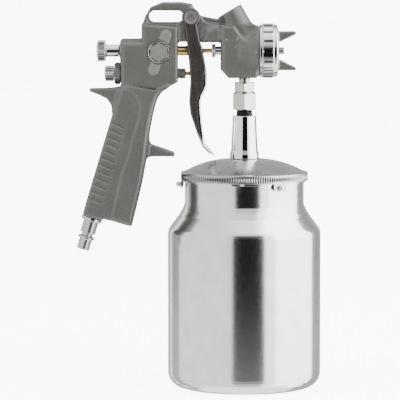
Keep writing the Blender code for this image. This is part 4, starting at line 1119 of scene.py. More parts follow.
    def slot_outline(self, wider: float) -> list[tuple[float, float]]:
        """Gives the hanger slot's outline: two half circles joined by straight sides.

        Args:
            wider: How much larger than the slot it is, on each side.

        Returns:
            The outline.
        """
        angle = np.linspace(-math.pi / 2, math.pi / 2, 13)
        reach = self.slot_radius + wider
        across = self.slot_half + reach * np.cos(angle)
        rise = reach * np.sin(angle)
        middle_z = NEEDLE_Z + self.slot_up
        right = zip(self.slot_x + across, middle_z + rise)
        left = zip(self.slot_x - across, middle_z - rise)
        return [*right, *left]

    def cut_grooves(self, field: Field) -> None:
        """Cuts the anti-slip grooves into the grip's sides, each a bar with a half-round front end.

        Args:
            field: The casting's field.
        """
        angle = np.radians(np.linspace(-90, 90, 9))
        for number in range(self.grooves):
            down = self.groove_start + self.groove_pitch * number
            end = [(down + 1.25 * math.sin(a), 3.3 + 1.25 * math.cos(a)) for a in angle]
            bar = on_grip([(down - 3.1, -12.0)] + end + [(down - 0.6, -12.0)])
            for side in (-1, 1):
                place = side * (self.grip_half + 1.0 - self.groove_depth)
                field.cut(field.plate(bar, 1.6, 0.4, place), 0.5)

    def cut_bores(self, field: Field) -> None:
        """Cuts the bores for the needle, the valve, the nozzle, the nipple, the plug and the pin.

        Args:
            field: The casting's field.
        """
        needle, valve = (0, 0, NEEDLE_Z), (0, 0, VALVE_Z)
        ahead, up = (1, 0, 0), (0, 0, 1)
        field.cut(field.rod(needle, ahead, -90, -62.5, 6.2), 0.3)
        field.cut(field.rod(needle, ahead, -70, -40, 3.7), 0.3)
        field.cut(field.rod(needle, ahead, -18, -8, 3.3), 0.3)
        field.cut(field.rod(needle, ahead, -10, 2, 1.9), 0.2)
        field.cut(field.rod(needle, ahead, -6, 20, 5.3), 0.4)
        field.cut(field.rod(valve, ahead, -90, -57.2, 6.3), 0.3)
        field.cut(field.rod(valve, ahead, -60, -40, 3.85), 0.3)
        field.cut(field.rod((0, 0, 0), up, 210, 226.3, 4.3), 0.3)
        field.cut(field.plate(self.slot_outline(0.0), 20.0, 0.1), 0.9)
        across = (0, 1, 0)
        pin = (self.pin_x, 0, NEEDLE_Z + self.pin_up)
        field.cut(field.rod(pin, across, -14, 14, 2.8), 0.3)
        lean = (math.sin(LEAN), 0, math.cos(LEAN))
        field.cut(field.rod(GRIP_FOOT, lean, -5, 12, 5.5), 0.3)
        badge = (self.badge_x, 0, NEEDLE_Z - self.badge_down)
        field.cut(field.rod(badge, across, -16, -10.4, 8.7), 0.3)

    def badge(self) -> None:
        """Builds the plain hexagonal badge: a bright rim round a painted face."""
        rim = softened(
            [(0.0, -10.75), (8.22, -10.75), (8.22, -11.7), (7.9, -11.95), (7.2, -11.95), (7.0, -11.6),
             (0.0, -11.6)],
            [0, 0, 0.2, 0.15, 0.2, 0.1, 0], 3, False,
        )
        origin = (self.badge_x, 0.0, NEEDLE_Z - self.badge_down)
        turned(
            "badge_rim", rim, NICKEL, "gun", ["side_badge"], origin, Axis.ALONG_Y,
            shape=hex_limit(14.3, 0.0),
        )
        face = np.array([(0.0, -11.5), (6.95, -11.5), (6.95, -11.66), (0.0, -11.66)])
        turned(
            "badge_face", face, PAINT, "gun", [], origin, Axis.ALONG_Y,
            shape=hex_limit(11.9, 0.0),
        )


# The trigger's front edge downwards and its back edge upwards, from its pivot.
TRIGGER_FRONT = (
    (8.0, -21.5), (9.6, -29.9), (11.3, -40.4), (11.3, -46.7), (10.0, -50.3), (7.8, -54.6),
    (6.8, -58.9), (7.1, -65.3), (7.8, -72.5), (8.7, -79.6), (9.6, -88.6), (12.2, -91.4),
    (16.1, -95.7),
)
TRIGGER_BACK = (
    (16.4, -96.4), (12.2, -94.3), (7.8, -90.0), (3.9, -79.9), (-0.5, -67.0), (-1.4, -58.0),
    (-0.5, -43.9), (-1.6, -29.9), (-3.2, -15.9),
)


@dataclass
class Trigger:
    """The trigger: two cheeks over the arm, a web in front with a painted highlight down its edge, and the
    pin that it turns on.
    """

    step: float = 0.45
    quick_step: float = 0.9
    half: float = 9.2
    cheek: float = 1.7
    edge: float = 1.2
    ear_radius: float = 6.5
    pin_hole: float = 2.8
    bright_width: float = 2.4
    bright_from: float = 36.0
    pivot_x: float = -37.3
    pivot_z: float = NEEDLE_Z + 23.3

    def build(self) -> None:
        """Builds the trigger, its pin and its nut."""
        front, back = list(TRIGGER_FRONT), list(TRIGGER_BACK)
        angle = np.radians(np.linspace(225, -50, 24))
        ear = list(zip(self.ear_radius * np.cos(angle), self.ear_radius * np.sin(angle)))
        outline = self.from_pivot(back + ear + [(6.2, -15.9)] + front)
        low = np.min(outline, axis=0) - 2
        high = np.max(outline, axis=0) + 2
        reach = self.half + 1.5
        step = self.step
        field = Field((low[0], -reach, low[1]), (high[0], reach, high[1]), step)
        field.join(field.plate(outline, self.half, self.edge), 0.1)
        inner = [(x - 2.0, z) for x, z in front if z > -82.0]
        hollow = [(-22.0, 14.0), (-22.0, -82.0), (inner[-1][0] + 0.2, -82.0)] + inner[::-1]
        hollow += [(inner[0][0] - 0.3, -19.6), (22.0, -19.6), (22.0, 14.0)]
        field.cut(field.plate(self.from_pivot(hollow), self.half - self.cheek, 0.5), 0.6)
        pin = (self.pivot_x, 0, self.pivot_z)
        field.cut(field.rod(pin, (0, 1, 0), -20, 20, self.pin_hole), 0.2)
        slot = on_needle([(-42.0, -2.7), (-20.0, -2.7), (-20.0, 4.5), (-42.0, 4.5)])
        field.cut(field.plate(slot, 2.3, 0.1), 0.3)
        points, quads = field.surface()
        piece = shown(
            "trigger_blade", points, quads.tolist(), DARK, "trigger", ["trigger"], 50.0
        )
        # A strip along the front edge gets the "bright" layer: a painted highlight, with lower roughness.
        line = self.from_pivot(front)
        strip = [(x + 1.0, z) for x, z in line]
        strip += [(x - self.bright_width, z) for x, z in line[::-1]]
        away = polygon_distance(np.array(strip), points[:, 0], points[:, 2])
        fade = np.clip((self.pivot_z - self.bright_from - points[:, 2]) / 8.0, 0, 1)
        write_layer(piece, "bright", fade * np.clip(0.5 - away / 1.2, 0, 1))
        self.pin()

    def from_pivot(self, points: Points) -> list[tuple[float, float]]:
        """Moves points measured from the pivot to their places on the gun.

        Args:
            points: The points.

        Returns:
            Their x and their height from the floor.
        """
        return [(self.pivot_x + x, self.pivot_z + z) for x, z in points]

    def pin(self) -> None:
        """Builds the pin's head with its hexagonal socket, and the nut on the other end."""
        origin = (self.pivot_x, 0.0, self.pivot_z)
        head = softened(
            [(0, 11.5), (2.5, 11.5), (2.5, -9.5), (4.8, -9.5), (4.8, -11.5), (4.0, -11.5), (3.6, -11.1),
             (2.1, -11.1), (2.0, -10.2), (0, -10.2)],
            [0, 0.3, 0, 0.2, 0.4, 0.2, 0.2, 0.1, 0.1, 0], 3, False,
        )
        turned(
            "pivot_screw", head, PHOSPHATE, "gun", ["trigger_pin"], origin, Axis.ALONG_Y
        )
        nut = softened([(2.8, 9.5), (4.8, 9.5), (4.8, 11.5), (2.8, 11.5)], [0, 0.3, 0.5, 0.2], 3)
        turned(
            "pivot_nut", nut, BLACK, "gun", ["trigger_pin_nut"], origin, Axis.ALONG_Y
        )


@dataclass
class Cup:
    """The paint cup, spun from one sheet: a flat base, a straight wall, a shoulder and a neck.

    radius, base, neck and lip are radii. foot and top are the heights of the shoulder's foot and of
    the lip, and base_edge is the radius of the arc from the base to the wall.
    """

    radius: float = 53.5
    base: float = 43.0
    neck: float = 41.65
    lip: float = 42.6
    foot: float = 108.5
    top: float = 145.9
    wall: float = 1.2
    floor: float = 1.6
    base_edge: float = 10.5
    notch_half: float = 4.0
    first_notch: float = 23.0
    third: float = 120.0

    def build(self) -> None:
        """Builds the cup as one closed turned skin, whose base and wall are joined by a quarter arc."""
        turn = np.radians(np.linspace(-90, 0, 9))
        rise = self.base_edge
        outer = [(0.0, 0.6), (self.base - 6, 0.6), (self.base - 4, 0.0)]
        outer += [(self.base + rise * math.cos(a), rise + rise * math.sin(a)) for a in turn]
        outer += [
            (self.radius, self.foot), (52.79, self.foot + 2.84), (45.8, self.foot + 12.18),
            (43.07, self.foot + 16.85), (self.neck, self.foot + 20.3), (self.neck, 143.9),
            (self.lip, 143.9), (self.lip, self.top - 0.5), (self.neck, self.top),
            (self.neck - self.wall, self.top),
        ]
        inner = [
            (self.neck - self.wall, self.foot + 20.0), (42.0, self.foot + 16.2), (44.8, self.foot + 11.5),
            (51.7, self.foot + 2.3), (self.radius - self.wall, self.foot - 0.4),
        ]
        reach = rise - self.wall
        inner += [
            (self.base + reach * math.cos(a), rise + reach * math.sin(a)) for a in turn[:0:-1]
            if rise + reach * math.sin(a) > self.floor + 0.1
        ]
        inner.append((0.0, self.floor))
        fillets = [0, 1, 1] + [0.1] * len(turn)
        fillets += [3, 6, 9, 9, 4, 0.1, 0.2, 0.3, 0.3, 0.3, 4, 9, 9, 6, 3]
        fillets += [0.1] * (len(outer) + len(inner) - len(fillets) - 1) + [0]
        profile = softened(outer + inner, fillets, 6, False)
        turned("cup_skin", profile, CUP_METAL, "cup", ["cup"], steps=192, shape=self.notched)

    def notched(self, turn: np.ndarray, rise: np.ndarray, reach: np.ndarray) -> np.ndarray:
        """Keeps the neck's radius where a lug passes the lip, over a few degrees at three places.

        Args:
            turn: The angles.
            rise: The heights.
            reach: The radii.

        Returns:
            The radii with the notches.
        """
        half = self.third / 2
        beside = np.abs((np.degrees(turn) - self.first_notch + half) % self.third - half)
        passed = (beside < self.notch_half) & (rise > 143.7)
        return np.where(passed, np.minimum(reach, self.neck + 0.05), reach)


@dataclass
class Lid:
    """The domed lid: its knurled rim, its three lugs with their rivets, and the gasket under it."""

    rim: float = 44.45
    inside: float = 43.1
    knurls: int = 160
    knurl_depth: float = 0.5
    dome_top: float = 160.0
    dome_drop: float = 9.0
    thick: float = 1.2
    lug_top: float = 146.4
    lug_low: float = 139.8
    lug_half: float = 5.0
    rivet_z: float = 142.3
    rivet_radius: float = 2.0
    lug_angles: tuple[float, ...] = (-57.0, 63.0, 183.0)

    def build(self) -> None:
        """Builds the lid, its lugs, its rivets and its gasket."""
        radii = np.linspace(10.5, 42.0, 12)[::-1]
        dome = [(r, self.dome_top - self.dome_drop * ((r - 10.5) / 32.05) ** 2) for r in radii]
        under = [(r, h - self.thick) for r, h in dome[::-1]]
        under[-1] = (self.inside, 149.0)
        skirt = [
            (self.inside, 145.2), (self.rim, 145.2), (self.rim, 150.9), (self.rim - 1.4, 151.0),
        ]
        middle = [(6.3, self.dome_top), (6.3, self.dome_top - self.thick)]
        corners = skirt + dome + middle + under
        fillets = [0.3, 0.3, 0.5, 0.3] + [0] * len(dome) + [0.2, 0.2] + [0] * len(under)
        profile = refined(softened(corners, fillets, 3), 1.6)
        turned(
            "lid_dome", profile, LID_METAL, "gun", ["lid"], steps=4 * self.knurls,
            shape=knurl(self.knurls, self.knurl_depth, 145.5, 150.3, self.rim - 0.6), deepest=0.4,
        )
        for number, angle in enumerate(self.lug_angles, 1):
            self.lug(number, angle)
        gasket = softened([(37.3, 146.2), (41.95, 146.2), (41.95, 148.2), (37.3, 148.2)], 0.4, 2)
        turned("lid_seal", gasket, RUBBER, "lid_gasket", ["lid_gasket"])

    def lug(self, number: int, angle: float) -> None:
        """Builds one lug, a curved tab under the rim, and its ball rivet.

        The tab is a grid of angle and height whose half width falls as a circle's near its lower end.

        Args:
            number: Which lug it is.
            angle: Its azimuth in degrees.
        """
        rows, columns = 12, 11
        heights = np.linspace(self.lug_top, self.lug_low, rows)
        lower = np.clip((142.0 - heights) / 2.4, 0, 1)
        widths = self.lug_half * np.sqrt(np.clip(1 - lower ** 2, 0.05, 1))
        share = np.linspace(-1, 1, columns)
        around = math.radians(angle) + widths[:, None] * share[None, :] / self.rim
        level = np.broadcast_to(heights[:, None], around.shape)
        skins = [
            np.stack([r * np.cos(around), r * np.sin(around), level], axis=-1)
            for r in (self.rim + 0.02, self.inside)
        ]
        points = np.concatenate([skin.reshape(-1, 3) for skin in skins])
        one_skin = rows * columns
        label = np.arange(one_skin).reshape(rows, columns)
        front = np.stack([label[:-1, :-1], label[:-1, 1:], label[1:, 1:], label[1:, :-1]], -1)
        front = front.reshape(-1, 4)
        edge = np.concatenate([label[0], label[1:, -1], label[-1, -2::-1], label[-2:0:-1, 0]])
        after = np.roll(edge, -1)
        side = np.stack([edge, edge + one_skin, after + one_skin, after], axis=-1)
        faces = np.concatenate([front, front[:, ::-1] + one_skin, side]).tolist()
        shown(f"lid_lug_{number}", points, faces, LID_METAL, "gun", [])
        bend = np.radians(np.linspace(-55, 78, 8))
        middle = 2.95
        ball = [(0.0, -0.5), (1.2, -0.5), (1.2, 1.5)]
        ball += [
            (self.rivet_radius * math.cos(a), middle + self.rivet_radius * math.sin(a)) for a in bend
        ]
        ball.append((0.0, middle + self.rivet_radius))
        self.rivet(number, angle, np.array(ball))

    def rivet(self, number: int, angle: float, profile: np.ndarray) -> None:
        """Builds one lug's ball rivet, turned about the line out from the cup's axis.

        Args:
            number: Which lug it belongs to.
            angle: Its azimuth in degrees.
            profile: Its radii and the distances along that line.
        """
        out = np.array([math.cos(math.radians(angle)), math.sin(math.radians(angle)), 0.0])
        side = np.array([-out[1], out[0], 0.0])
        up = np.array([0.0, 0.0, 1.0])
        steps = 24
        turn = np.linspace(0, 2 * math.pi, steps, endpoint=False)
        rows = len(profile)
        ring = np.cos(turn)[None, :, None] * side + np.sin(turn)[None, :, None] * up
        foot = 43.0 * out + self.rivet_z * up
        points = foot + profile[:, 1, None, None] * out + profile[:, 0, None, None] * ring
        points = points.reshape(-1, 3)
        label = np.arange(rows * steps).reshape(rows, steps)
        label[0] = label[0, 0]
        label[-1] = label[-1, 0]
        beside = np.roll(label, -1, axis=1)
        quads = np.stack([label[:-1], label[1:], beside[1:], beside[:-1]], axis=-1).reshape(-1, 4)
        faces = [tuple(dict.fromkeys(q)) for q in quads.tolist()]
        compact(
            f"lug_rivet_{number}", points, faces, CHROME, "gun",
            [f"lid_rivet_{number}"], 35.0,
        )


@dataclass
class Feed:
    """The paint feed: the lid's stem, the suction tube in the cup, and the union up to the head."""

    tube: float = 4.0
    tube_bore: float = 3.0
    lock_flats: float = 18.0
    union_flats: float = 15.9
    nipple_flats: float = 13.7
    thread_pitch: float = 1.25
    thread_depth: float = 0.55
    strainer_knurls: int = 24

    def build(self) -> None:
        """Builds every piece on the cup's axis, from the strainer to the nipple."""
        stem = softened(
            [(4.3, 176.0), (6.2, 176.0), (6.2, 190.2), (8.25, 190.2), (8.45, 184.0), (9.35, 166.3),
             (10.25, 163.2), (10.25, 160.3), (6.0, 160.3), (6.0, 153.0), (4.3, 153.0)],
            [0, 0, 0.3, 0.5, 3, 3, 1.2, 0.3, 0.2, 0.4, 0], 5,
        )
        turned("stem_post", stem, CHROME, "gun", ["lid_stem"], steps=128)
        self.nut(
            "lock_nut", "lid_lock_nut", self.lock_flats, 153.7, 157.7, 6.3, STEEL, Slot.STEEL
        )
        tube = softened(
            [(self.tube_bore, 9.0), (self.tube, 9.0), (self.tube, 187.0), (self.tube_bore, 187.0)],
            0.3, 2,
        )
        turned("feed_tube", tube, STEEL, "gun", ["suction_tube"], steps=48)
        strainer = refined(softened(
            [(3.0, 5.0), (6.0, 5.0), (6.0, 17.0), (4.3, 17.0), (4.3, 8.7), (3.0, 8.7)], 0.3, 2), 0.8)
        turned(
            "tube_strainer", strainer, NICKEL, "gun", ["suction_strainer"],
            shape=knurl(self.strainer_knurls, 0.7, 6.5, 15.5, 5.5), deepest=0.7,
        )
        connector = refined(softened(
            [(4.3, 176.3), (5.85, 176.3), (5.85, 201.5), (2.6, 201.5), (2.6, 187.3), (4.3, 187.3)],
            0.3, 2), 0.2)
        turned(
            "thread_connector", connector, BLACK, "gun", ["tube_connector"], steps=72,
            shape=thread(self.thread_pitch, self.thread_depth, 189.5, 201.2, 5.4), deepest=0.8,
        )
        self.nut(
            "union_hex", "union_nut", self.union_flats, 194.4, 206.3, 6.15, NICKEL, Slot.NICKEL,
            4.6, 1.9,
        )
        nipple = softened(
            [(2.6, 200.5), (5.3, 201.8), (5.3, 203.2), (4.0, 203.6), (4.0, 206.6), (6.7, 206.6),
             (7.9, 207.4), (7.9, 212.6), (6.7, 213.5), (4.0, 213.5), (4.0, 226.0), (2.6, 226.0)],
            [0.2, 0.4, 0.4, 0.2, 0, 0.1, 0.3, 0.3, 0.1, 0.2, 0.3, 0.1], 3,
        )
        turned(
            "head_nipple", nipple, NICKEL, "gun", ["fluid_nipple"],
            shape=hex_limit(self.nipple_flats, 30.0), sharp=30.0,
        )

    def nut(
        self, name: str, node: str, flats: float, low: float, high: float, bore: float,
        finish: Finish, slot: Slot, top_bore: float = 0.0, shoulder: float = 0.0,
    ) -> None:
        """Builds a hexagon nut with a chamfer at both ends.

        Args:
            name: The piece's name.
            node: The CAD node that it stands for.
            flats: The width across flats.
            low: Its lower end.
            high: Its upper end.
            bore: Its bore's radius.
            finish: What it is made of.
            slot: Not used.
            top_bore: The bore's radius through a shoulder at the top, if there is one.
            shoulder: The shoulder's thickness.
        """
        corner = flats / 2 / math.cos(math.pi / 6)
        drop = (corner - flats / 2) * 0.7
        inner = [(bore, high)]
        if shoulder:
            inner = [(top_bore, high), (top_bore, high - shoulder), (bore, high - shoulder)]
        face = flats / 2 - 0.1
        profile = softened(
            [(bore, low), (face, low), (corner, low + drop), (corner, high - drop), (face, high)]
            + inner, [0.3, 0.1, 0.4, 0.4, 0.1] + [0.3] * len(inner), 3,
        )
        turned(
            name, profile, finish, "gun", [node], shape=hex_limit(flats, 30.0), sharp=30.0
        )


@dataclass
class NeedleSet:
    """The needle with its collar and spring, its packing nut, and the knob that sets its travel."""

    needle_radius: float = 1.6
    packing_knurls: int = 30
    knob_knurls: int = 32
    knob_knurl_depth: float = 0.6
    coil_radius: float = 4.9
    wire_radius: float = 0.7
    spring_rear: float = -78.0
    spring_front: float = -65.0
    spring_turns: float = 5.0
    spring_keep: float = 0.7

    def build(self) -> None:
        """Builds every piece on the needle's axis behind the head."""
        origin = (0.0, 0.0, NEEDLE_Z)
        radius = self.needle_radius
        needle = softened(
            [(0, -70.0), (radius, -70.0), (radius, 17.0), (0.6, 26.6), (0.3, 26.9), (0, 26.9)],
            [0, 0.3, 2, 0.3, 0.1, 0], 4, False,
        )
        turned(
            "needle_rod", needle, BRASS, "needle_set", ["needle"], origin, Axis.ALONG_X, 32
        )
        collar = softened(
            [(radius, -64.8), (5.5, -64.8), (5.5, -62.8), (3.4, -62.8), (3.4, -31.9),
             (radius, -31.9)],
            [0, 0.3, 0.3, 0.2, 0.5, 0], 3,
        )
        turned(
            "collar_sleeve", collar, BRASS, "needle_set", ["needle_collar"], origin,
            Axis.ALONG_X, 64,
        )
        packing = refined(softened(
            [(1.9, -22.8), (4.75, -22.8), (4.75, -20.2), (3.0, -20.2), (3.0, -12.1), (1.9, -12.1)],
            0.3, 3), 0.5)
        turned(
            "packing_screw", packing, CHROME, "gun", ["needle_packing_nut"], origin,
            Axis.ALONG_X, 4 * self.packing_knurls,
            knurl(self.packing_knurls, 0.35, -22.5, -20.5, 4.4), deepest=0.4,
        )
        bush = softened([(3.3, -85.7), (5.9, -85.7), (5.9, -78.0), (3.3, -78.0)], 0.3, 3)
        turned(
            "knob_bush", bush, BLACK, "gun", ["fluid_knob_bush"], origin, Axis.ALONG_X
        )
        ring = softened([(3.3, -87.5), (4.6, -87.5), (4.6, -86.3), (3.3, -86.3)], 0.3, 3)
        turned(
            "knob_washer", ring, RUBBER, "gun", ["fluid_knob_ring"], origin, Axis.ALONG_X
        )
        knob = refined(softened(
            [(0.01, -103.2), (4.4, -103.2), (5.1, -102.6), (7.5, -102.6), (7.5, -96.7), (5.0, -96.7),
             (4.3, -95.9), (4.3, -87.8), (3.0, -87.8), (3.0, -74.2), (0.01, -74.2)],
            [0, 0.6, 0.2, 0.7, 0.7, 0.4, 0.4, 0.5, 0.1, 0.5, 0], 4), 0.45)
        turned(
            "fluid_control_knob", knob, CHROME, "fluid_knob", ["fluid_knob"], origin,
            Axis.ALONG_X, 336, knurl(self.knob_knurls, self.knob_knurl_depth, -102.1, -97.2, 7.0),
            deepest=self.knob_knurl_depth,
        )
        spring = coil(
            "needle_coil", self.coil_radius, self.wire_radius, self.spring_rear, self.spring_front,
            self.spring_turns, origin, STEEL, "gun", "needle_spring",
        )
        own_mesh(spring)


@dataclass
class AirValve:
    """The air valve's stem, its gland nut, its spring, and the plug with the knob behind it."""

    stem_radius: float = 1.5
    gland_knurls: int = 30
    plug_flats: float = 13.34
    knob_radius: float = 5.4
    knob_knurls: int = 18
    coil_radius: float = 4.9
    wire_radius: float = 0.55
    spring_rear: float = -79.7
    spring_front: float = -66.7
    spring_turns: float = 5.0
    spring_keep: float = 0.47
    spring_seat: float = -80.0

    def build(self) -> None:
        """Builds every shown piece on the valve's axis."""
        origin = (0.0, 0.0, VALVE_Z)
        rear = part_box("air_valve_stem")[0].x / MM
        stem = softened(
            [(0, rear), (self.stem_radius, rear), (self.stem_radius, -29.6), (0.9, -28.8),
             (0, -28.8)],
            [0, 0.3, 0.5, 0.4, 0], 4, False,
        )
        turned(
            "valve_stem", stem, BRONZE, "air_valve", ["air_valve_stem"], origin,
            Axis.ALONG_X, 32,
        )
        gland = refined(softened(
            [(1.8, -52.0), (3.55, -52.0), (3.55, -40.9), (1.8, -40.9)], [0.2, 0.2, 0.6, 0.4], 3), 0.4)
        turned(
            "valve_gland", gland, PHOSPHATE, "gun", ["air_valve_gland_nut"], origin,
            Axis.ALONG_X, 4 * self.gland_knurls, knurl(self.gland_knurls, 0.25, -45.8, -41.7, 3.3),
        )
        spring = coil(
            "valve_coil", self.coil_radius, self.wire_radius, self.spring_rear, self.spring_front,
            self.spring_turns, origin, STEEL, "gun", "air_valve_spring",
        )
        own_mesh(spring)
        plug = softened(
            [(3.3, -90.65), (6.6, -90.65), (7.7, -89.9), (7.7, -87.0), (6.7, -86.3), (6.0, -86.3),
             (6.0, -80.0), (3.3, -80.0)],
            [0.2, 0.1, 0.3, 0.3, 0.1, 0.1, 0.4, 0.2], 3,
        )
        turned(
            "valve_plug", plug, PHOSPHATE, "gun", ["air_valve_plug"], origin,
            Axis.ALONG_X, shape=hex_limit(self.plug_flats, 30.0), sharp=30.0,
        )
        shank_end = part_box("air_knob")[1].x / MM
        knob = refined(softened(
            [(0.01, -97.6), (3.4, -97.6), (3.9, -97.2), (self.knob_radius, -97.2),
             (self.knob_radius, -90.95), (3.0, -90.95), (3.0, shank_end), (0.01, shank_end)],
            [0, 0.4, 0.2, 0.6, 0.5, 0.1, 0.4, 0], 4), 0.45)
        turned(
            "air_control_knob", knob, CHROME, "air_knob", ["air_knob"], origin,
            Axis.ALONG_X, 240, knurl(self.knob_knurls, 0.5, -96.9, -91.4, 5.0), deepest=0.5,
        )


@dataclass
class Front:
    """The fluid nozzle, the air cap with its two horns, and the ring that holds the cap."""

    step: float = 0.34
    quick_step: float = 0.7
    pads: int = 16
    groove_depth: float = 1.2
    face_radius: float = 13.5
    flange_radius: float = 16.4
    horn_half: float = 4.8
    centre_hole: float = 2.75

    def build(self) -> None:
        """Builds the nozzle, the cap and the ring."""
        self.nozzle()
        self.cap()
        self.ring()

    def nozzle(self) -> None:
        """Builds the nozzle from its CAD seat to its tip."""
        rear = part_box("fluid_nozzle")[0].x / MM
        profile = softened(
            [(1.95, rear), (5.0, rear), (5.0, 17.4), (7.0, 17.4), (7.0, 19.4), (4.9, 19.9),
             (2.45, 20.9), (2.45, 27.3), (2.0, 27.8), (0.95, 27.8), (0.95, 25.6), (2.1, 18.0)],
            [0.2, 0.3, 0.1, 0.4, 0.4, 0.4, 0.5, 0.2, 0.2, 0.05, 0.1, 0.4], 3,
        )
        origin = (0.0, 0.0, NEEDLE_Z)
        turned(
            "nozzle_tip", profile, STEEL, "gun", ["fluid_nozzle"], origin, Axis.ALONG_X
        )

    def cap(self) -> None:
        """Builds the air cap: a stepped disc with its centre hole, small holes and two drilled horns."""
        step = self.step
        half = 18.5
        field = Field((14.8, -half, NEEDLE_Z - half), (37.4, half, NEEDLE_Z + half), step)
        centre, ahead = (0, 0, NEEDLE_Z), (1, 0, 0)
        field.join(field.rod(centre, ahead, 16.3, 18.0, self.flange_radius, 0.3), 0.2)
        field.join(field.rod(centre, ahead, 16.3, 23.8, self.face_radius, 0.8), 0.4)
        for way in (-1, 1):
            horn = [(x, NEEDLE_Z + way * z) for x, z in (
                (22.0, 5.6), (25.7, 6.6), (34.7, 11.0), (35.9, 11.6), (35.9, 13.2), (35.4, 13.6),
                (22.0, 13.6),
            )]
            field.join(field.plate(horn, self.horn_half, 0.8), 0.8)
            for place in (27.6, 31.6):
                foot = (place, 0, NEEDLE_Z + way * 13.0)
                field.cut(field.rod(foot, (0.42, 0, -way), 2.0, 12.0, 0.75), 0.2)
            for across in (-2.6, 2.6):
                foot = (0, across, NEEDLE_Z + way * 4.6)
                field.cut(field.rod(foot, ahead, 20.0, 26.0, 0.6), 0.15)
        for side in (-1, 1):
            field.cut(field.rod((0, side * 4.8, NEEDLE_Z), ahead, 20.0, 26.0, 0.6), 0.15)
            field.cut(field.rod((0, side * 10.2, NEEDLE_Z), ahead, 22.9, 26.0, 1.1), 0.2)
        field.cut(field.rod(centre, ahead, 14.0, 21.3, 12.0), 0.3)
        field.cut(field.rod(centre, ahead, 20.0, 26.0, self.centre_hole), 0.3)
        points, quads = field.surface()
        faces = quads.tolist()
        shown("cap_disc", points, faces, SATIN, "air_cap", ["air_cap"], 45.0)

    def ring(self) -> None:
        """Builds the ring with its raised pads: the radius falls into a narrow groove between two pads."""
        profile = refined(softened(
            [(16.7, 10.6), (18.3, 10.6), (18.3, 12.1), (19.0, 12.5), (19.0, 19.9), (18.35, 20.3),
             (18.2, 22.4), (17.6, 23.2), (13.8, 23.2), (13.8, 18.3), (16.7, 18.3)],
            [0.2, 0.3, 0.1, 0.3, 0.3, 0.2, 0.5, 0.5, 0.4, 0.3, 0.2], 3), 0.8)
        turned(
            "ring_shell", profile, RING_METAL, "air_cap_ring", ["air_cap_ring"],
            (0.0, 0.0, NEEDLE_Z), Axis.ALONG_X, 36 * self.pads, self.grooved, 40.0, 1.0,
        )

    def grooved(self, turn: np.ndarray, rise: np.ndarray, reach: np.ndarray) -> np.ndarray:
        """Lowers the radius between the pads by the groove's depth, over a quarter of their pitch.

        Args:
            turn: The angles.
            rise: The places along the axis.
            reach: The radii.

        Returns:
            The radii with the grooves.
        """
        place = np.abs((turn * self.pads / (2 * math.pi)) % 1.0 - 0.5) * 2
        deep = np.clip((place - 0.74) / 0.12, 0, 1)
        end = np.clip((np.minimum(rise - 12.2, 20.2 - rise)) / 0.8, 0, 1)
        inside = (reach > 17.9) & (rise > 12.0) & (rise < 20.3)
        return np.where(inside, reach - self.groove_depth * deep * end, reach)


@dataclass
class Inlet:
    """The air inlet under the grip: a plated ring and a quick-release plug."""

    def build(self) -> None:
        """Builds the ring and the plug on the grip's leaning axis."""
        origin = GRIP_FOOT
        ring = softened([(5.6, -2.8), (7.3, -2.8), (7.3, -0.3), (5.6, -0.3)], 0.5, 3)
        turned("inlet_washer", ring, NICKEL, "gun", ["inlet_ring"], origin, Axis.GRIP)
        high = (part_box("air_plug")[1].z / MM - GRIP_FOOT[2]) / math.cos(LEAN) - 1.6
        plug = refined(softened(
            [(2.6, -23.7), (4.45, -23.7), (4.45, -15.9), (5.75, -15.9), (5.75, -14.3), (3.9, -13.6),
             (3.9, -11.7), (5.35, -11.7), (5.35, -3.1), (5.2, -3.1), (5.2, high), (2.6, high)],
            [0.4, 0.9, 0.5, 0.4, 0.4, 0.6, 0.4, 0.4, 0.3, 0, 0.3, 0.3], 3), 0.5)
        turned("inlet_plug", plug, WORN_CHROME, "gun", ["air_plug"], origin, Axis.GRIP)


def dress_hidden() -> None:
    """Gives the small pieces that no view shows their finishes."""
    for node, finish, slot in (
        ("needle_packing", PTFE, Slot.PTFE), ("air_valve_packing", PTFE, Slot.PTFE),
        ("air_valve_seal", RUBBER, Slot.RUBBER), ("air_valve_seat", BRASS, Slot.BRASS),
        ("nozzle_gasket", PTFE, Slot.PTFE),
    ):
        dress(node, finish)


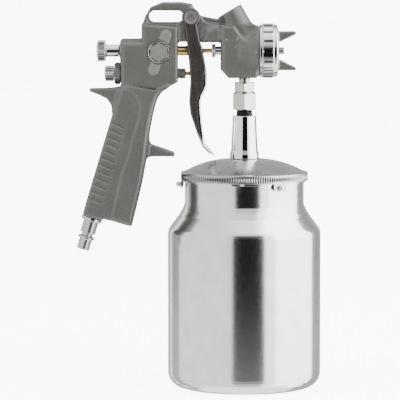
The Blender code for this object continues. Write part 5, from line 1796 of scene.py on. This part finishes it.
@dataclass
class Studio:
    """A pale floor in soft white light, with cards that only reflections see.

    The front card is dark, and gives the metal its dark bands. The cards on the right are bright,
    and those on the left and behind are grey. card_foot and card_top are heights in metres.
    """

    distance: float = 2.0
    elevation: float = 4.8
    lens: float = 257.0
    white: float = 2.6
    glow: float = 7.0
    floor_half: float = 30.0
    card_foot: float = -0.8
    card_top: float = 1.6
    brightest: float = 8.0

    def build(self) -> None:
        """Builds the world, the floor, the lights, the cards and the camera."""
        self.world()
        self.floor()
        self.lights()
        self.cards()
        self.camera()

    def world(self) -> None:
        """Lights everything from all round with even white."""
        world = bpy.data.worlds.new("studio_white")
        world.use_nodes = True
        world.node_tree.nodes["Background"].inputs[0].default_value = (1.0, 1.0, 1.0, 1.0)
        world.node_tree.nodes["Background"].inputs[1].default_value = self.white
        bpy.context.scene.world = world

    def floor(self) -> None:
        """Lays a pale matt floor."""
        tree = Tree("pale_floor")
        shader = tree.add("BsdfPrincipled", {
            "Base Color": (0.93, 0.93, 0.93, 1.0), "Roughness": 0.8, "Emission Color": (1.0, 1.0, 1.0, 1.0),
            "Emission Strength": self.glow,
        })
        tree.add("OutputMaterial", {0: shader.outputs[0]})
        reach = self.floor_half
        corners = reach * np.array([(-1.0, -1.0, 0.0), (1.0, -1.0, 0.0), (1.0, 1.0, 0.0), (-1.0, 1.0, 0.0)])
        plane = self.sheet("floor", corners, tree.material)
        plane.visible_glossy = False
        plane.visible_diffuse = False

    def sheet(self, name: str, corners: np.ndarray, material: bpy.types.Material) -> bpy.types.Object:
        """Makes a flat four-sided stage piece.

        Args:
            name: Its name.
            corners: Its corners in metres.
            material: Its material.

        Returns:
            The piece.
        """
        mesh = bpy.data.meshes.new(name)
        mesh.from_pydata(corners.tolist(), [], [(0, 1, 2, 3)])
        mesh.materials.append(material)
        piece = bpy.data.objects.new(name, mesh)
        bpy.context.scene.collection.objects.link(piece)
        return piece

    def lights(self) -> None:
        """Hangs one soft light above to the right and a weaker one to the left."""
        for name, place, size, power in (
            ("key", (0.7, -0.7, 1.7), 1.2, 30.0), ("fill", (-1.4, -0.5, 1.1), 1.0, 10.0),
        ):
            light = bpy.data.lights.new(name, "AREA")
            light.size = size
            light.energy = power
            lamp = bpy.data.objects.new(name, light)
            lamp.location = place
            aim = np.array((0.0, 0.0, 0.13)) - np.array(place)
            across = math.hypot(aim[0], aim[1])
            lamp.rotation_euler = (math.atan2(across, -aim[2]), 0.0, math.atan2(aim[1], aim[0]) - math.pi / 2)
            lamp.visible_glossy = False
            bpy.context.scene.collection.objects.link(lamp)

    def cards(self) -> None:
        """Stands the cards round the object.

        A card's glow changes with its height, from one stop to the next, eased.
        """
        foot, top = self.card_foot, self.card_top
        for name, low, high, distance, stops in (
            ("front_card", -18.0, 29.0, 0.62, (
                (-0.8, 1.6), (-0.45, 1.2), (-0.125, 0.45), (-0.05, 0.12), (0.02, 0.008),
                (0.32, 0.012), (0.6, 1.2), (1.6, 2.4),
            )),
            ("left_card", -138.0, -112.0, 0.62, ((-0.06, 0.8), (0.05, 0.5))),
            ("left_wash", -112.0, -18.0, 0.70, ((-0.06, 1.8), (0.05, 1.7))),
            ("right_near", 29.0, 46.0, 0.70, ((-0.2, 3.0), (0.3, 4.0))),
            ("right_far", 46.0, 118.0, 0.70, ((-0.2, 5.0), (0.3, 7.0))),
            ("right_edge", 118.0, 150.0, 0.70, ((-0.06, 0.7), (0.05, 0.5))),
            ("back_card", 150.0, 215.0, 0.75, ((-0.06, 0.8), (0.05, 0.75))),
        ):
            tree = Tree(name)
            height = tree.add("SeparateXYZ", {0: tree.add("TexCoord").outputs["Object"]}).outputs[2]
            place = tree.add("MapRange", {0: height, 1: foot, 2: top, 3: 0.0, 4: 1.0})
            ramp = tree.add("ValToRGB", {0: place.outputs[0]})
            ramp.color_ramp.interpolation = "EASE"
            points = ramp.color_ramp.elements
            for number, (level, value) in enumerate(stops):
                point = points[number] if number < 2 else points.new(1.0)
                point.position = (level - foot) / (top - foot)
                point.color = (value / self.brightest,) * 3 + (1.0,)
            shader = tree.add("Emission", {"Color": ramp.outputs[0], "Strength": self.brightest})
            tree.add("OutputMaterial", {0: shader.outputs[0]})
            for part, (start, end) in enumerate(self.panels(low, high)):
                left, right = (
                    (distance * math.sin(turn), -distance * math.cos(turn))
                    for turn in (math.radians(start), math.radians(end))
                )
                corners = np.array([(*left, foot), (*right, foot), (*right, top), (*left, top)])
                card = self.sheet(f"{name}_{part}", corners, tree.material)
                card.visible_camera = False
                card.visible_diffuse = False
                card.visible_shadow = False

    def panels(self, low: float, high: float) -> list[tuple[float, float]]:
        """Divides an arc into panels of at most 20 degrees.

        Args:
            low: Where the arc starts, in degrees.
            high: Where it ends.

        Returns:
            Each panel's start and end.
        """
        ends = np.linspace(low, high, math.ceil((high - low) / 20) + 1)
        return list(zip(ends[:-1].tolist(), ends[1:].tolist()))

    def camera(self) -> None:
        """Stands the camera level with the gun, with a long lens."""
        camera = bpy.data.cameras.new("camera")
        camera.lens = self.lens
        camera.sensor_width = 36.0
        camera.clip_end = 100.0
        view = bpy.data.objects.new("camera", camera)
        rise = math.radians(self.elevation)
        view.location = (
            -0.031, -self.distance * math.cos(rise), 0.131 + self.distance * math.sin(rise),
        )
        view.rotation_euler = (math.pi / 2 - rise, 0.0, 0.0)
        bpy.context.scene.collection.objects.link(view)
        bpy.context.scene.camera = view


def main() -> None:
    """Builds the gun piece by piece, then the studio round it."""
    logging.basicConfig(level=logging.INFO, format="%(message)s", stream=sys.stdout)
    for assembly in (Cup(), Lid(), Feed(), CastBody(), Trigger(), NeedleSet(), AirValve(), Front(), Inlet()):
        LOG.info("building %s", type(assembly).__name__)
        assembly.build()
    dress_hidden()
    Studio().build()


if __name__ == "__main__":
    main()
